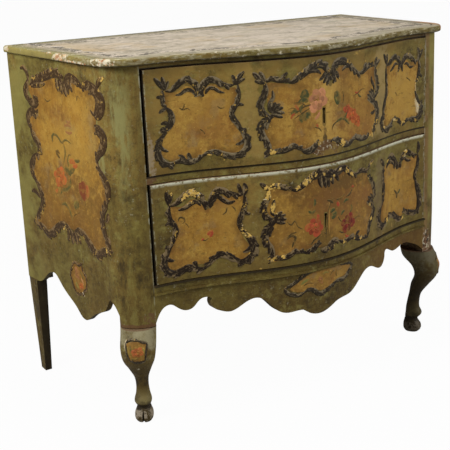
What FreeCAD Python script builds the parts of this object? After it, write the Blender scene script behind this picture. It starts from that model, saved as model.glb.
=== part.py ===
"""Two-drawer serpentine chest on cabriole legs, one STEP file per piece.

Frame: +Z up, the front faces -Y, origin on the floor at the centre of the footprint's box.
Units are millimetres.

The front is a serpentine: level at the two posts and swinging forward to a single apex at x = 0.
It also leans a little forward on the way down. Everything that follows the front is a slab
between two surfaces that lie a stated depth behind the face of the drawers.
"""

import FreeCAD, Part
import math
import os

from FreeCAD import Vector

# ---------------------------------------------------------------- driving dimensions
# Case
OVERALL_HEIGHT = 900.0
OVERALL_DEPTH = 612.0
CASE_WIDTH = 1109.0
SIDE_SPLAY = 39.5
BOW_DEPTH = 98.5
FRONT_LEAN = 12.5
FRAME_SETBACK = 5.0

# Top
TOP_THICKNESS = 17.0
TOP_SIDE_OVERHANG = 8.0
TOP_FRONT_OVERHANG = 8.0
TOP_CORNER_OVERHANG = 12.0
TOP_EAR_REACH = 6.0
TOP_UPPER_ROUND = 7.0
TOP_LOWER_ROUND = 4.0

# Front, from the top down
TOP_RAIL_HEIGHT = 10.0
DRAWER_FRONT_HEIGHT = 240.0
MIDDLE_RAIL_HEIGHT = 18.0
BOTTOM_RAIL_HEIGHT = 25.0
APRON_HEIGHT = 118.0
POST_FOOT_DROP = 78.0
APRON_END_RISE = 8.0
RAIL_DEPTH = 60.0
APRON_THICKNESS = 22.0

# Posts, sides and back
CORNER_RADIUS = 75.0
POST_FLAT = 3.0
POST_TAIL = 2.0
SIDE_THICKNESS = 14.0
STILE_THICKNESS = 34.0
STILE_DEPTH = 40.0
BACK_THICKNESS = 12.0
BACK_BOARD_GAP = 1.0
BACK_BOARD_END_GAP = 0.5
BACK_BOTTOM_DROP = 45.0
REAR_RAIL_HEIGHT = 27.0

# Inside the case
RUNNER_THICKNESS = 18.0
RUNNER_INSET = 23.0
GUIDE_HEIGHT = 30.0
PANEL_THICKNESS = 6.0
STOP_HEIGHT = 6.0
STOP_WIDTH = 60.0
STOP_DEPTH = 20.0
STOP_SPACING = 560.0
GLUE_BLOCK_LENGTH = 70.0
GLUE_BLOCK_SIZE = 20.0
GLUE_BLOCK_PLACES = (-330.0, -130.0, 130.0, 330.0)
GLUE_LINE = 0.3

# Drawers
DRAWER_SIDE_GAP = 6.0
DRAWER_TOP_GAP = 2.5
DRAWER_FLOOR_GAP = 2.0
DRAWER_FRONT_THICKNESS = 25.0
DRAWER_FRONT_LAP = 6.0
DRAWER_SIDE_THICKNESS = 12.0
DRAWER_SIDE_BELOW_TOP = 16.7
DRAWER_BACK_BELOW_SIDE = 10.0
DRAWER_BOTTOM_THICKNESS = 8.0
DRAWER_BOTTOM_LIFT = 8.0
DRAWER_BACK_CLEARANCE = 30.0
RUNNER_CLEARANCE = 0.3
GUIDE_CLEARANCE = 0.7
STOP_CLEARANCE = 0.3

# Locks
LOCK_WIDTH = 80.0
LOCK_HEIGHT = 84.0
LOCK_DEPTH = 18.0
LOCK_WALL = 4.0
KEYHOLE_BELOW_TOP = 143.0
KEYHOLE_WIDTH = 5.0
KEYHOLE_HEIGHT = 34.0
KEYHOLE_EYE_RADIUS = 4.0
BOLT_WIDTH = 20.0
BOLT_THICKNESS = 6.0
BOLT_TAIL = 10.0
BOLT_RECESS = 0.5
BOLT_CLEARANCE = 0.3
BOLT_TRAVEL = 8.0
MORTISE_CLEARANCE = 1.0
MORTISE_SPARE = 2.0

# Beads along the bottom rail
BEAD_HEIGHT = 5.0
BEAD_PROUD = 3.0
BEAD_SHOULDER = 1.0
BEAD_SEAT = 2.0

# Legs
LEG_RADIUS = 43.0
LEG_INSET_X = 17.5
LEG_INSET_Y = 23.0
LEG_TURN = 54.8
LEG_SQUARENESS = 2.3
TENON_RADIUS = 14.0
TENON_LENGTH = 50.0
TENON_SHIFT = 20.0
TENON_CLEARANCE = 0.2
SOCKET_SPARE = 1.0
REAR_LEG_DROP = 68.0
REAR_LEG_TOP = (29.0, 52.0)
REAR_LEG_FOOT = (18.0, 30.0)
REAR_LEG_REVEAL = 1.0

# Nails and screws
NAIL_RADIUS = 1.5
NAIL_HEAD_RADIUS = 4.0
NAIL_HEAD_HEIGHT = 1.2
NAIL_LENGTH = 34.0
SCREW_RADIUS = 2.0
SCREW_HEAD_RADIUS = 4.0
SCREW_HEAD_HEIGHT = 1.5
SCREW_BITE = 10.0
SCREW_EDGE = 8.0
HOLE_CLEARANCE = 0.05

# ---------------------------------------------------------------- outlines
# Lower edge of a side, from the rear leg forward to the leg joint. Each point is a share of the
# way from the stile's front face to the post's back, and a share of POST_FOOT_DROP below the
# apron's top line.
SIDE_RUNS = (
    ((0.000, 0.87), (0.060, 0.81), (0.120, 0.62), (0.170, 0.42)),
    ((0.170, 0.42), (0.220, 0.30), (0.280, 0.26), (0.345, 0.46), (0.408, 0.69), (0.499, 0.92),
     (0.575, 1.14), (0.636, 1.35), (0.690, 1.37), (0.763, 1.15), (0.875, 0.86), (0.958, 0.64),
     (1.000, 0.35), (1.025, 0.23)),
    ((1.025, 0.23), (1.080, 0.33), (1.115, 0.58), (1.140, 0.85), (1.155, 1.00)),
)

# Lower edge of the apron from the left post to the right one: share of the half opening, and
# share of APRON_HEIGHT below the apron's top line. The pattern is cut by hand and is not quite
# symmetrical. The first and last points take their drop from the legs instead.
APRON_RUNS = (
    ((-1.000, None), (-0.969, 0.38), (-0.950, 0.31), (-0.908, 0.27), (-0.862, 0.38),
     (-0.811, 0.46), (-0.776, 0.42), (-0.735, 0.27), (-0.696, 0.24), (-0.668, 0.30)),
    ((-0.668, 0.30), (-0.672, 0.39), (-0.659, 0.51), (-0.627, 0.58), (-0.572, 0.63),
     (-0.516, 0.54), (-0.460, 0.42), (-0.421, 0.40), (-0.388, 0.45), (-0.337, 0.64),
     (-0.292, 0.79), (-0.250, 0.84), (-0.188, 0.83), (-0.137, 0.85)),
    ((-0.137, 0.85), (-0.117, 0.92), (-0.080, 0.98), (-0.030, 1.00), (0.030, 0.94),
     (0.080, 0.85)),
    ((0.080, 0.85), (0.140, 0.80), (0.210, 0.77), (0.270, 0.65), (0.320, 0.51), (0.368, 0.41),
     (0.425, 0.40), (0.470, 0.47), (0.515, 0.55), (0.550, 0.56), (0.580, 0.47), (0.592, 0.30)),
    ((0.592, 0.30), (0.605, 0.21), (0.640, 0.23), (0.676, 0.31), (0.715, 0.33), (0.757, 0.30),
     (0.805, 0.26), (0.860, 0.29), (0.915, 0.37), (0.962, 0.46), (1.000, None)),
)

# Stations of a front leg: share of the leg's height, then inner edge, outer edge and half width
# as shares of the leg's radius.
LEG_STATIONS = (
    (0.000, -0.48, 0.42, 0.42),
    (0.022, -0.58, 0.55, 0.50),
    (0.070, -0.62, 0.58, 0.54),
    (0.150, -0.54, 0.34, 0.40),
    (0.215, -0.49, 0.60, 0.50),
    (0.290, -0.46, 0.44, 0.40),
    (0.370, -0.38, 0.43, 0.36),
    (0.455, -0.28, 0.53, 0.40),
    (0.575, -0.16, 1.03, 0.64),
    (0.690, 0.06, 1.54, 0.90),
    (0.800, -0.14, 1.66, 1.00),
    (0.915, -0.80, 1.44, 1.00),
    (1.000, -0.96, 1.20, 1.00),
)
LEG_SECTION_POINTS = 16

# Nails at each end of a back board, as shares of its height
NAIL_SHARES = (0.25, 0.78)

# Points along the front's curves, and the share of the top's front edge that follows the bow
SPLINE_STEPS = 36
TOP_WAVE_STEPS = 24
TOP_WAVE_SHARE = 0.9

# Rounding error, and how far a cutting shape reaches past what it cuts
EPS = 0.01
SPARE = 10.0

# ---------------------------------------------------------------- levels, from the top down
CASE_TOP = OVERALL_HEIGHT - TOP_THICKNESS
UPPER_RAIL_FLOOR = CASE_TOP - TOP_RAIL_HEIGHT
UPPER_DRAWER_TOP = UPPER_RAIL_FLOOR - DRAWER_TOP_GAP
UPPER_DRAWER_FLOOR = UPPER_DRAWER_TOP - DRAWER_FRONT_HEIGHT
MIDDLE_RAIL_TOP = UPPER_DRAWER_FLOOR - DRAWER_FLOOR_GAP
MIDDLE_RAIL_FLOOR = MIDDLE_RAIL_TOP - MIDDLE_RAIL_HEIGHT
LOWER_DRAWER_TOP = MIDDLE_RAIL_FLOOR - DRAWER_TOP_GAP
LOWER_DRAWER_FLOOR = LOWER_DRAWER_TOP - DRAWER_FRONT_HEIGHT
BOTTOM_RAIL_TOP = LOWER_DRAWER_FLOOR - DRAWER_FLOOR_GAP
APRON_TOP = BOTTOM_RAIL_TOP - BOTTOM_RAIL_HEIGHT
LEG_TOP = APRON_TOP - POST_FOOT_DROP
REAR_LEG_JOINT = APRON_TOP - REAR_LEG_DROP
BACK_FLOOR = APRON_TOP - BACK_BOTTOM_DROP
BOTTOM_BOARD_FLOOR = BOTTOM_RAIL_TOP - RUNNER_THICKNESS
DUST_BOARD_FLOOR = MIDDLE_RAIL_TOP - RUNNER_THICKNESS
BACK_BOARD_NAMES = ("lower_back_board", "middle_back_board", "upper_back_board")
BACK_BOARD_PITCH = (CASE_TOP - BACK_FLOOR) / len(BACK_BOARD_NAMES)

# ---------------------------------------------------------------- lines in plan
BACK_Y = OVERALL_DEPTH / 2
FRONT_END_Y = -OVERALL_DEPTH / 2 + BEAD_PROUD + BOW_DEPTH
BACK_INNER_Y = BACK_Y - BACK_THICKNESS
STILE_FRONT_Y = BACK_INNER_Y - STILE_DEPTH
DRAWER_BACK_Y = BACK_INNER_Y - DRAWER_BACK_CLEARANCE

HALF_BACK = CASE_WIDTH / 2
HALF_FRONT = HALF_BACK - SIDE_SPLAY
OPENING_HALF = HALF_FRONT - CORNER_RADIUS - POST_FLAT
DRAWER_HALF = OPENING_HALF - DRAWER_SIDE_GAP
BOX_HALF = DRAWER_HALF - DRAWER_FRONT_LAP
INNER_HALF = BOX_HALF - DRAWER_SIDE_THICKNESS
BOARD_HALF = BOX_HALF - RUNNER_INSET


def front_end_y(z):
    """Face of the drawers beside a post at height z: it leans from the lower drawer's floor up."""
    rise = (z - LOWER_DRAWER_FLOOR) / (UPPER_DRAWER_TOP - LOWER_DRAWER_FLOOR)
    return FRONT_END_Y + FRONT_LEAN * max(rise, 0.0)


def bow(x):
    """Share of the bow at x: a raised cosine, 1 at the centre and 0 at the posts."""
    return 0.5 * (1 + math.cos(math.pi * min(abs(x) / OPENING_HALF, 1.0)))


def front_y(x, z, depth=0.0):
    """Y of the surface that lies depth behind the drawers' face."""
    return front_end_y(z) - BOW_DEPTH * bow(x) + depth


POST_BACK_Y = front_end_y(CASE_TOP) + FRAME_SETBACK + CORNER_RADIUS + POST_TAIL


def side_outer_x(y):
    """Outer face of the right side: a straight plan line from the post to the back."""
    share = (y - POST_BACK_Y) / (BACK_Y - POST_BACK_Y)
    return HALF_FRONT + (HALF_BACK - HALF_FRONT) * share


def side_inner_x(y):
    return side_outer_x(y) - SIDE_THICKNESS


STILE_INNER_X = side_inner_x(BACK_INNER_Y) - STILE_THICKNESS


# ---------------------------------------------------------------- geometry
def box(x0, x1, y0, y1, z0, z1):
    return Part.makeBox(x1 - x0, y1 - y0, z1 - z0, Vector(x0, y0, z0))


def spline(points):
    curve = Part.BSplineCurve()
    curve.interpolate(points)
    return curve.toShape()


def line(a, b):
    return Part.makeLine(a, b)


def plan_prism(points, z0, z1):
    """Solid over a closed plan polygon of (x, y), from z0 to z1."""
    corners = [Vector(x, y, z0) for x, y in points]
    face = Part.Face(Part.makePolygon(corners + corners[:1]))
    return face.extrude(Vector(0, 0, z1 - z0))


def flipped(point):
    """Mirror image of a point across the middle plane."""
    return Vector(-point.x, point.y, point.z)


def mirrored(shape):
    return shape.mirror(Vector(0, 0, 0), Vector(1, 0, 0))


def front_curve(x0, x1, z, depth):
    steps = max(4, int(round(SPLINE_STEPS * (x1 - x0) / (2 * OPENING_HALF))))
    xs = [x0 + (x1 - x0) * i / steps for i in range(steps + 1)]
    return [Vector(x, front_y(x, z, depth), z) for x in xs]


def slab(x0, x1, z0, z1, near, far=None, far_y=None):
    """Solid between x0 and x1, z0 and z1, with its face near behind the drawers' face.

    Its back is far behind that face, or the plane at far_y.
    """
    sections = []
    for z in (z0, z1):
        face = front_curve(x0, x1, z, near)
        if far_y is None:
            rear = front_curve(x0, x1, z, far)[::-1]
            rear_edge = spline(rear)
        else:
            rear = [Vector(x1, far_y, z), Vector(x0, far_y, z)]
            rear_edge = line(rear[0], rear[1])
        edges = [spline(face), line(face[-1], rear[0]), rear_edge, line(rear[-1], face[0])]
        sections.append(Part.Wire(edges))
    return Part.makeLoft(sections, True, True)


def region_below(edges, depth, spread):
    """Solid under a chain of edges in a vertical plane, down by depth, swept along spread."""
    start = edges[0].Vertexes[0].Point
    end = edges[-1].Vertexes[-1].Point
    floor = min(start.z, end.z) - depth
    low_start = Vector(start.x, start.y, floor)
    low_end = Vector(end.x, end.y, floor)
    rim = [line(end, low_end), line(low_end, low_start), line(low_start, start)]
    return Part.Face(Part.Wire(edges + rim)).extrude(spread)


# ---------------------------------------------------------------- top
def top_corner():
    """Centre, radius and starting angle of the top's left front corner, and its back corner."""
    centre = corner_arc_centre(CASE_TOP) - Vector(0, TOP_EAR_REACH, 0)
    radius = CORNER_RADIUS + TOP_CORNER_OVERHANG
    back = Vector(-HALF_BACK - TOP_SIDE_OVERHANG, BACK_Y, CASE_TOP)
    toward = back - centre
    angle = math.atan2(toward.y, toward.x) + math.acos(radius / toward.Length)
    return centre, radius, angle, back


def top_outline():
    """Plan wire of the top: straight back and sides, round front corners, serpentine front."""
    centre, radius, angle, back = top_corner()

    def on_arc(turn):
        return centre + Vector(radius * math.cos(turn), radius * math.sin(turn), 0)

    front_turn = 1.5 * math.pi
    side = on_arc(angle)
    middle = on_arc((angle + front_turn) / 2)
    front = on_arc(front_turn)
    brow_y = front_end_y(CASE_TOP) - TOP_FRONT_OVERHANG
    wave = [front]
    for i in range(TOP_WAVE_STEPS + 1):
        x = TOP_WAVE_SHARE * OPENING_HALF * (2 * i / TOP_WAVE_STEPS - 1)
        wave.append(Vector(x, brow_y - BOW_DEPTH * bow(x), CASE_TOP))
    wave.append(flipped(front))
    return Part.Wire(
        [
            line(back, side),
            Part.Arc(side, middle, front).toShape(),
            spline(wave),
            Part.Arc(flipped(front), flipped(middle), flipped(side)).toShape(),
            line(flipped(side), flipped(back)),
            line(flipped(back), back),
        ]
    )


def top_board():
    board = Part.Face(top_outline()).extrude(Vector(0, 0, TOP_THICKNESS))

    def rim(level):
        """Edges of the sides and front at one level, without the straight back edge."""
        found = []
        for edge in board.Edges:
            extent = edge.BoundBox
            level_edge = extent.ZLength < EPS and abs(extent.ZMin - level) < EPS
            if level_edge and extent.YMin < BACK_Y - EPS:
                found.append(edge)
        return found

    board = board.makeFillet(TOP_UPPER_ROUND, rim(OVERALL_HEIGHT))
    return board.makeFillet(TOP_LOWER_ROUND, rim(CASE_TOP))


# ---------------------------------------------------------------- front legs
def corner_arc_centre(z):
    """Centre of the left post's rounded corner at height z."""
    return Vector(-HALF_FRONT + CORNER_RADIUS, front_end_y(z) + FRAME_SETBACK + CORNER_RADIUS, z)


def leg_axes():
    """Foot centre of the left front leg and its outward and crosswise directions in plan."""
    corner = corner_arc_centre(LEG_TOP)
    foot = Vector(corner.x - LEG_INSET_X, corner.y - LEG_INSET_Y, 0)
    turn = math.radians(LEG_TURN)
    outward = Vector(-math.cos(turn), -math.sin(turn), 0)
    across = Vector(-math.sin(turn), math.cos(turn), 0)
    return foot, outward, across


def leg_section(station):
    """Closed plan curve of a front leg at one station: a superellipse, longest outwards."""
    share, inner, outer, half = station
    foot, outward, across = leg_axes()
    centre = foot + outward * ((inner + outer) / 2 * LEG_RADIUS)
    reach = (outer - inner) / 2 * LEG_RADIUS
    power = 2 / LEG_SQUARENESS
    points = []
    for i in range(LEG_SECTION_POINTS):
        angle = 2 * math.pi * i / LEG_SECTION_POINTS
        c = math.cos(angle)
        s = math.sin(angle)
        u = math.copysign(abs(c) ** power, c) * reach
        v = math.copysign(abs(s) ** power, s) * half * LEG_RADIUS
        point = centre + outward * u + across * v
        points.append(Vector(point.x, point.y, share * LEG_TOP))
    curve = Part.BSplineCurve()
    curve.interpolate(Points=points, PeriodicFlag=True)
    return Part.Wire(curve.toShape())


def tenon(radius, z0, z1):
    """Round tenon on top of the leg, or with a larger radius its socket."""
    foot, outward, _ = leg_axes()
    at = foot + outward * TENON_SHIFT
    return Part.makeCylinder(radius, z1 - z0, Vector(at.x, at.y, z0))


def front_leg():
    leg = Part.makeLoft([leg_section(station) for station in LEG_STATIONS], True, False)
    return leg.fuse(tenon(TENON_RADIUS, LEG_TOP - SPARE, LEG_TOP + TENON_LENGTH))


# ---------------------------------------------------------------- posts, sides and rear legs
def post_section(z):
    """Plan of the left post: quarter-round outer corner, square inside."""
    centre = corner_arc_centre(z)
    r = CORNER_RADIUS
    side = Vector(centre.x - r, centre.y, z)
    middle = centre + Vector(-r * math.cos(math.pi / 4), -r * math.sin(math.pi / 4), 0)
    front = Vector(centre.x, centre.y - r, z)
    inner_front = Vector(-OPENING_HALF, front.y, z)
    inner_back = Vector(-OPENING_HALF, POST_BACK_Y, z)
    outer_back = Vector(side.x, POST_BACK_Y, z)
    return Part.Wire(
        [
            line(outer_back, side),
            Part.Arc(side, middle, front).toShape(),
            line(front, inner_front),
            line(inner_front, inner_back),
            line(inner_back, outer_back),
        ]
    )


def side_cutter():
    """Everything below the left side's lower edge, across the side panel and the post."""
    span = STILE_FRONT_Y - POST_BACK_Y
    behind = BACK_Y + SPARE
    start = Vector(0, STILE_FRONT_Y, APRON_TOP - SIDE_RUNS[0][0][1] * POST_FOOT_DROP)
    edges = [line(Vector(0, behind, start.z), start)]
    for run in SIDE_RUNS:
        points = []
        for share, drop in run:
            y = STILE_FRONT_Y - span * share
            points.append(Vector(0, y, APRON_TOP - drop * POST_FOOT_DROP))
        edges.append(spline(points))
    return region_below(edges, POST_FOOT_DROP, Vector(-2 * HALF_BACK, 0, 0))


def corner_post():
    """Left post: the quarter-round corner above, and a core that carries the leg's tenon."""
    low = Part.makeLoft([post_section(LEG_TOP), post_section(LOWER_DRAWER_FLOOR)], True, True)
    high = Part.makeLoft([post_section(LOWER_DRAWER_FLOOR), post_section(CASE_TOP)], True, True)
    envelope = low.fuse(high)
    core_face = Part.Face(leg_section(LEG_STATIONS[-1]))
    core = core_face.extrude(Vector(0, 0, APRON_TOP - LEG_TOP)).common(envelope)
    socket_top = LEG_TOP + TENON_LENGTH + SOCKET_SPARE
    socket = tenon(TENON_RADIUS + TENON_CLEARANCE, LEG_TOP, socket_top)
    return envelope.cut(side_cutter()).fuse(core).cut(socket).removeSplitter()


def side_panel():
    """Left side: a plank from the post to the back, shaped along its lower edge."""
    plan = [
        (-side_outer_x(POST_BACK_Y), POST_BACK_Y),
        (-side_inner_x(POST_BACK_Y), POST_BACK_Y),
        (-side_inner_x(BACK_Y), BACK_Y),
        (-side_outer_x(BACK_Y), BACK_Y),
    ]
    return plan_prism(plan, LEG_TOP - POST_FOOT_DROP / 2, CASE_TOP).cut(side_cutter())


def rear_leg():
    """Left rear leg: a square taper below the side, and the stile that it runs up into."""
    stile = plan_prism(
        [
            (-side_inner_x(STILE_FRONT_Y), STILE_FRONT_Y),
            (-side_inner_x(BACK_INNER_Y), BACK_INNER_Y),
            (-STILE_INNER_X, BACK_INNER_Y),
            (-STILE_INNER_X, STILE_FRONT_Y),
        ],
        REAR_LEG_JOINT,
        CASE_TOP,
    )
    x_mid = -HALF_BACK + REAR_LEG_REVEAL + REAR_LEG_TOP[0] / 2
    y_mid = BACK_Y - REAR_LEG_REVEAL - REAR_LEG_TOP[1] / 2
    sections = []
    for z, (wide, deep) in ((0.0, REAR_LEG_FOOT), (REAR_LEG_JOINT, REAR_LEG_TOP)):
        corners = []
        for sx, sy in ((-1, -1), (1, -1), (1, 1), (-1, 1), (-1, -1)):
            corners.append(Vector(x_mid + sx * wide / 2, y_mid + sy * deep / 2, z))
        sections.append(Part.makePolygon(corners))
    return Part.makeLoft(sections, True, True).fuse(stile).removeSplitter()


# ---------------------------------------------------------------- front frame
def bolt_mortise(rail_floor):
    """Hole in a rail's underside for the lock bolt of the drawer below it."""
    x = BOLT_WIDTH / 2 + MORTISE_CLEARANCE
    y = bolt_y(rail_floor - DRAWER_TOP_GAP)
    rise = BOLT_TRAVEL - DRAWER_TOP_GAP + MORTISE_SPARE
    near = y - MORTISE_CLEARANCE
    far = y + BOLT_THICKNESS + MORTISE_CLEARANCE
    return box(-x, x, near, far, rail_floor - SPARE, rail_floor + rise)


def front_rail(z0, z1):
    """A rail over a drawer, with the mortise for that drawer's bolt."""
    rail = slab(-OPENING_HALF, OPENING_HALF, z0, z1, FRAME_SETBACK, FRAME_SETBACK + RAIL_DEPTH)
    return rail.cut(bolt_mortise(z0))


def bead(z0):
    """Rounded strip along the front, let BEAD_SEAT into the rail."""
    shoulder = BEAD_SHOULDER - BEAD_PROUD
    step = BEAD_HEIGHT / 4
    layers = (
        (z0, z0 + step, shoulder),
        (z0 + step, z0 + 3 * step, -BEAD_PROUD),
        (z0 + 3 * step, z0 + BEAD_HEIGHT, shoulder),
    )
    strips = []
    for low, high, nose in layers:
        strips.append(slab(-OPENING_HALF, OPENING_HALF, low, high, nose, 2 * BEAD_SEAT))
    return strips[0].fuse(strips[1:])


def bottom_rail():
    rail = slab(
        -OPENING_HALF, OPENING_HALF, APRON_TOP, BOTTOM_RAIL_TOP, BEAD_SEAT, BEAD_SEAT + RAIL_DEPTH
    )
    return rail.cut([bead(BOTTOM_RAIL_TOP - BEAD_HEIGHT), bead(APRON_TOP)])


def front_apron():
    """Shaped apron below the bottom rail, cut along its scalloped lower edge."""
    blank = slab(
        -OPENING_HALF,
        OPENING_HALF,
        APRON_TOP - APRON_HEIGHT - SPARE,
        APRON_TOP,
        FRAME_SETBACK,
        FRAME_SETBACK + APRON_THICKNESS,
    )
    end_drop = POST_FOOT_DROP - APRON_END_RISE
    edges = []
    for run in APRON_RUNS:
        points = []
        for share, drop in run:
            depth = end_drop if drop is None else drop * APRON_HEIGHT
            points.append(Vector(share * OPENING_HALF, -OVERALL_DEPTH, APRON_TOP - depth))
        edges.append(spline(points))
    return blank.cut(region_below(edges, APRON_HEIGHT, Vector(0, 2 * OVERALL_DEPTH, 0)))


# ---------------------------------------------------------------- inside the case
def beside_drawers(inner_x, z0, z1):
    """Left block from inner_x to the side panel, between the post and the rear stile."""
    plan = [
        (-side_inner_x(POST_BACK_Y), POST_BACK_Y),
        (-inner_x, POST_BACK_Y),
        (-inner_x, STILE_FRONT_Y),
        (-side_inner_x(STILE_FRONT_Y), STILE_FRONT_Y),
    ]
    return plan_prism(plan, z0, z1)


def runner(top):
    return beside_drawers(BOARD_HALF, top - RUNNER_THICKNESS, top)


def guide(floor):
    return beside_drawers(BOX_HALF + GUIDE_CLEARANCE, floor, floor + GUIDE_HEIGHT)


def kicker():
    """Block over the upper drawer's side, which keeps the drawer level when it is open."""
    return beside_drawers(BOARD_HALF, UPPER_RAIL_FLOOR, CASE_TOP)


def panel_between_runners(z0):
    """Thin board from a front rail back to the back boards, between the runners."""
    near = FRAME_SETBACK + RAIL_DEPTH
    return slab(-BOARD_HALF, BOARD_HALF, z0, z0 + PANEL_THICKNESS, near, far_y=BACK_INNER_Y)


def rear_rail(top):
    """Rail between the rear stiles, just inside the back boards."""
    floor = top - REAR_RAIL_HEIGHT
    return box(-STILE_INNER_X, STILE_INNER_X, STILE_FRONT_Y, BACK_INNER_Y, floor, top)


def back_board(index):
    """One of the horizontal back boards, nailed to the rear stiles, numbered from the floor."""
    z0 = BACK_FLOOR + index * BACK_BOARD_PITCH
    z1 = z0 + BACK_BOARD_PITCH - BACK_BOARD_GAP
    near = side_inner_x(BACK_INNER_Y) - BACK_BOARD_END_GAP
    far = side_inner_x(BACK_Y) - BACK_BOARD_END_GAP
    plan = [(-near, BACK_INNER_Y), (near, BACK_INNER_Y), (far, BACK_Y), (-far, BACK_Y)]
    return plan_prism(plan, z0, z1)


def fastener(x, y, z, radius, length, head_radius, head_height, spare):
    """Nail or screw driven from (x, y, z) towards the front, or its hole when spare is given."""
    at = Vector(x, y, z)
    axis = Vector(0, -1, 0)
    shank = Part.makeCylinder(radius + spare, length, at, axis)
    return shank.fuse(Part.makeCylinder(head_radius + spare, head_height, at, axis))


def nails(spare=0.0):
    """The nails at the ends of the back boards, or their holes when spare is given."""
    x = STILE_INNER_X + STILE_THICKNESS / 2
    solids = []
    for index in range(len(BACK_BOARD_NAMES)):
        for share in NAIL_SHARES:
            z = BACK_FLOOR + (index + share) * BACK_BOARD_PITCH
            for side in (-1, 1):
                nail = fastener(
                    side * x,
                    BACK_Y,
                    z,
                    NAIL_RADIUS,
                    NAIL_LENGTH,
                    NAIL_HEAD_RADIUS,
                    NAIL_HEAD_HEIGHT,
                    spare,
                )
                solids.append(nail)
    return Part.makeCompound(solids)


def glue_blocks():
    """Blocks under the bottom rail, a glue line behind the apron."""
    near = FRAME_SETBACK + APRON_THICKNESS + GLUE_LINE
    half = GLUE_BLOCK_LENGTH / 2
    floor = APRON_TOP - GLUE_BLOCK_SIZE
    solids = []
    for x in GLUE_BLOCK_PLACES:
        solids.append(slab(x - half, x + half, floor, APRON_TOP, near, near + GLUE_BLOCK_SIZE))
    return Part.makeCompound(solids)


def drawer_stops():
    """Two blocks on each drawer-bearing rail, just behind the drawer front."""
    near = DRAWER_FRONT_THICKNESS + STOP_CLEARANCE
    half = STOP_WIDTH / 2
    solids = []
    for floor in (MIDDLE_RAIL_TOP, BOTTOM_RAIL_TOP):
        for x in (-STOP_SPACING / 2, STOP_SPACING / 2):
            stop = slab(x - half, x + half, floor, floor + STOP_HEIGHT, near, near + STOP_DEPTH)
            solids.append(stop)
    return Part.makeCompound(solids)


# ---------------------------------------------------------------- locks
def lock_y(top):
    """Front of the lock case, let LOCK_WALL into the drawer front's inner face."""
    z = top - KEYHOLE_BELOW_TOP + LOCK_HEIGHT / 2
    return front_y(0, z, DRAWER_FRONT_THICKNESS) - LOCK_WALL


def bolt_y(top):
    """Near face of the bolt: it stays clear of the leaning front all the way up."""
    return front_y(0, top, DRAWER_FRONT_THICKNESS) + BOLT_CLEARANCE


def keyhole(top, y0, y1):
    low = top - KEYHOLE_BELOW_TOP - KEYHOLE_HEIGHT / 2
    high = low + KEYHOLE_HEIGHT
    slot = box(-KEYHOLE_WIDTH / 2, KEYHOLE_WIDTH / 2, y0, y1, low, high)
    eye = Part.makeCylinder(KEYHOLE_EYE_RADIUS, y1 - y0, Vector(0, y0, high), Vector(0, 1, 0))
    return slot.fuse(eye)


def lock_block(top, depth):
    """Box of the lock case's width and height, from its front back by depth."""
    z = top - KEYHOLE_BELOW_TOP
    half_w = LOCK_WIDTH / 2
    half_h = LOCK_HEIGHT / 2
    y = lock_y(top)
    return box(-half_w, half_w, y, y + depth, z - half_h, z + half_h)


def lock_bolt(top, clearance=0.0, rise=0.0):
    """The bolt, or with a clearance and a rise the way it slides in."""
    x = BOLT_WIDTH / 2 + clearance
    y = bolt_y(top)
    low = top - KEYHOLE_BELOW_TOP - BOLT_TAIL - clearance
    high = top - BOLT_RECESS + rise
    return box(-x, x, y - clearance, y + BOLT_THICKNESS + clearance, low, high)


def lock_screws(top, spare=0.0):
    """Four screws through the corners of the case, or their holes when spare is given."""
    rear = lock_y(top) + LOCK_DEPTH
    length = LOCK_DEPTH + SCREW_BITE
    x = LOCK_WIDTH / 2 - SCREW_EDGE
    z = LOCK_HEIGHT / 2 - SCREW_EDGE
    middle = top - KEYHOLE_BELOW_TOP
    solids = []
    for sx, sz in ((-1, -1), (1, -1), (-1, 1), (1, 1)):
        screw = fastener(
            sx * x,
            rear,
            middle + sz * z,
            SCREW_RADIUS,
            length,
            SCREW_HEAD_RADIUS,
            SCREW_HEAD_HEIGHT,
            spare,
        )
        solids.append(screw)
    return Part.makeCompound(solids)


def lock_case(top):
    """Iron case behind the keyhole, hollow where the bolt slides through its top."""
    y = lock_y(top)
    y_in = bolt_y(top) - BOLT_CLEARANCE
    y_out = y_in + BOLT_THICKNESS + 2 * BOLT_CLEARANCE
    half_w = LOCK_WIDTH / 2 - LOCK_WALL
    middle = top - KEYHOLE_BELOW_TOP
    floor = middle - LOCK_HEIGHT / 2 + LOCK_WALL
    chamber = box(-half_w, half_w, y_in, y_out, floor, middle - BOLT_TAIL - BOLT_CLEARANCE)
    way = lock_bolt(top, BOLT_CLEARANCE, BOLT_TRAVEL)
    key_way = keyhole(top, y - SPARE, y_in + EPS)
    holes = lock_screws(top, HOLE_CLEARANCE)
    return lock_block(top, LOCK_DEPTH).cut([way, chamber, key_way, holes])


# ---------------------------------------------------------------- drawers
def drawer_base(floor):
    """Underside of a drawer's sides: they stand on the runners, a clearance above them."""
    return floor - DRAWER_FLOOR_GAP + RUNNER_CLEARANCE


def drawer_side_top(floor):
    return floor + DRAWER_FRONT_HEIGHT - DRAWER_SIDE_BELOW_TOP


def drawer_front(floor, top):
    """A drawer's front. The lock's holes are cut in its middle, which is then joined to its ends."""
    front = slab(-DRAWER_HALF, DRAWER_HALF, floor, top, 0.0, DRAWER_FRONT_THICKNESS)
    middle = box(-LOCK_WIDTH, LOCK_WIDTH, -OVERALL_DEPTH, 0, floor - SPARE, top + SPARE)
    seat = lock_block(top, LOCK_WALL + BOW_DEPTH)
    key_way = keyhole(top, front_y(0, floor) - SPARE, lock_y(top) + EPS)
    drilled = front.common(middle).cut([seat, key_way, lock_screws(top, HOLE_CLEARANCE)])
    return front.cut(middle).fuse(drilled).removeSplitter()


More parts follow.
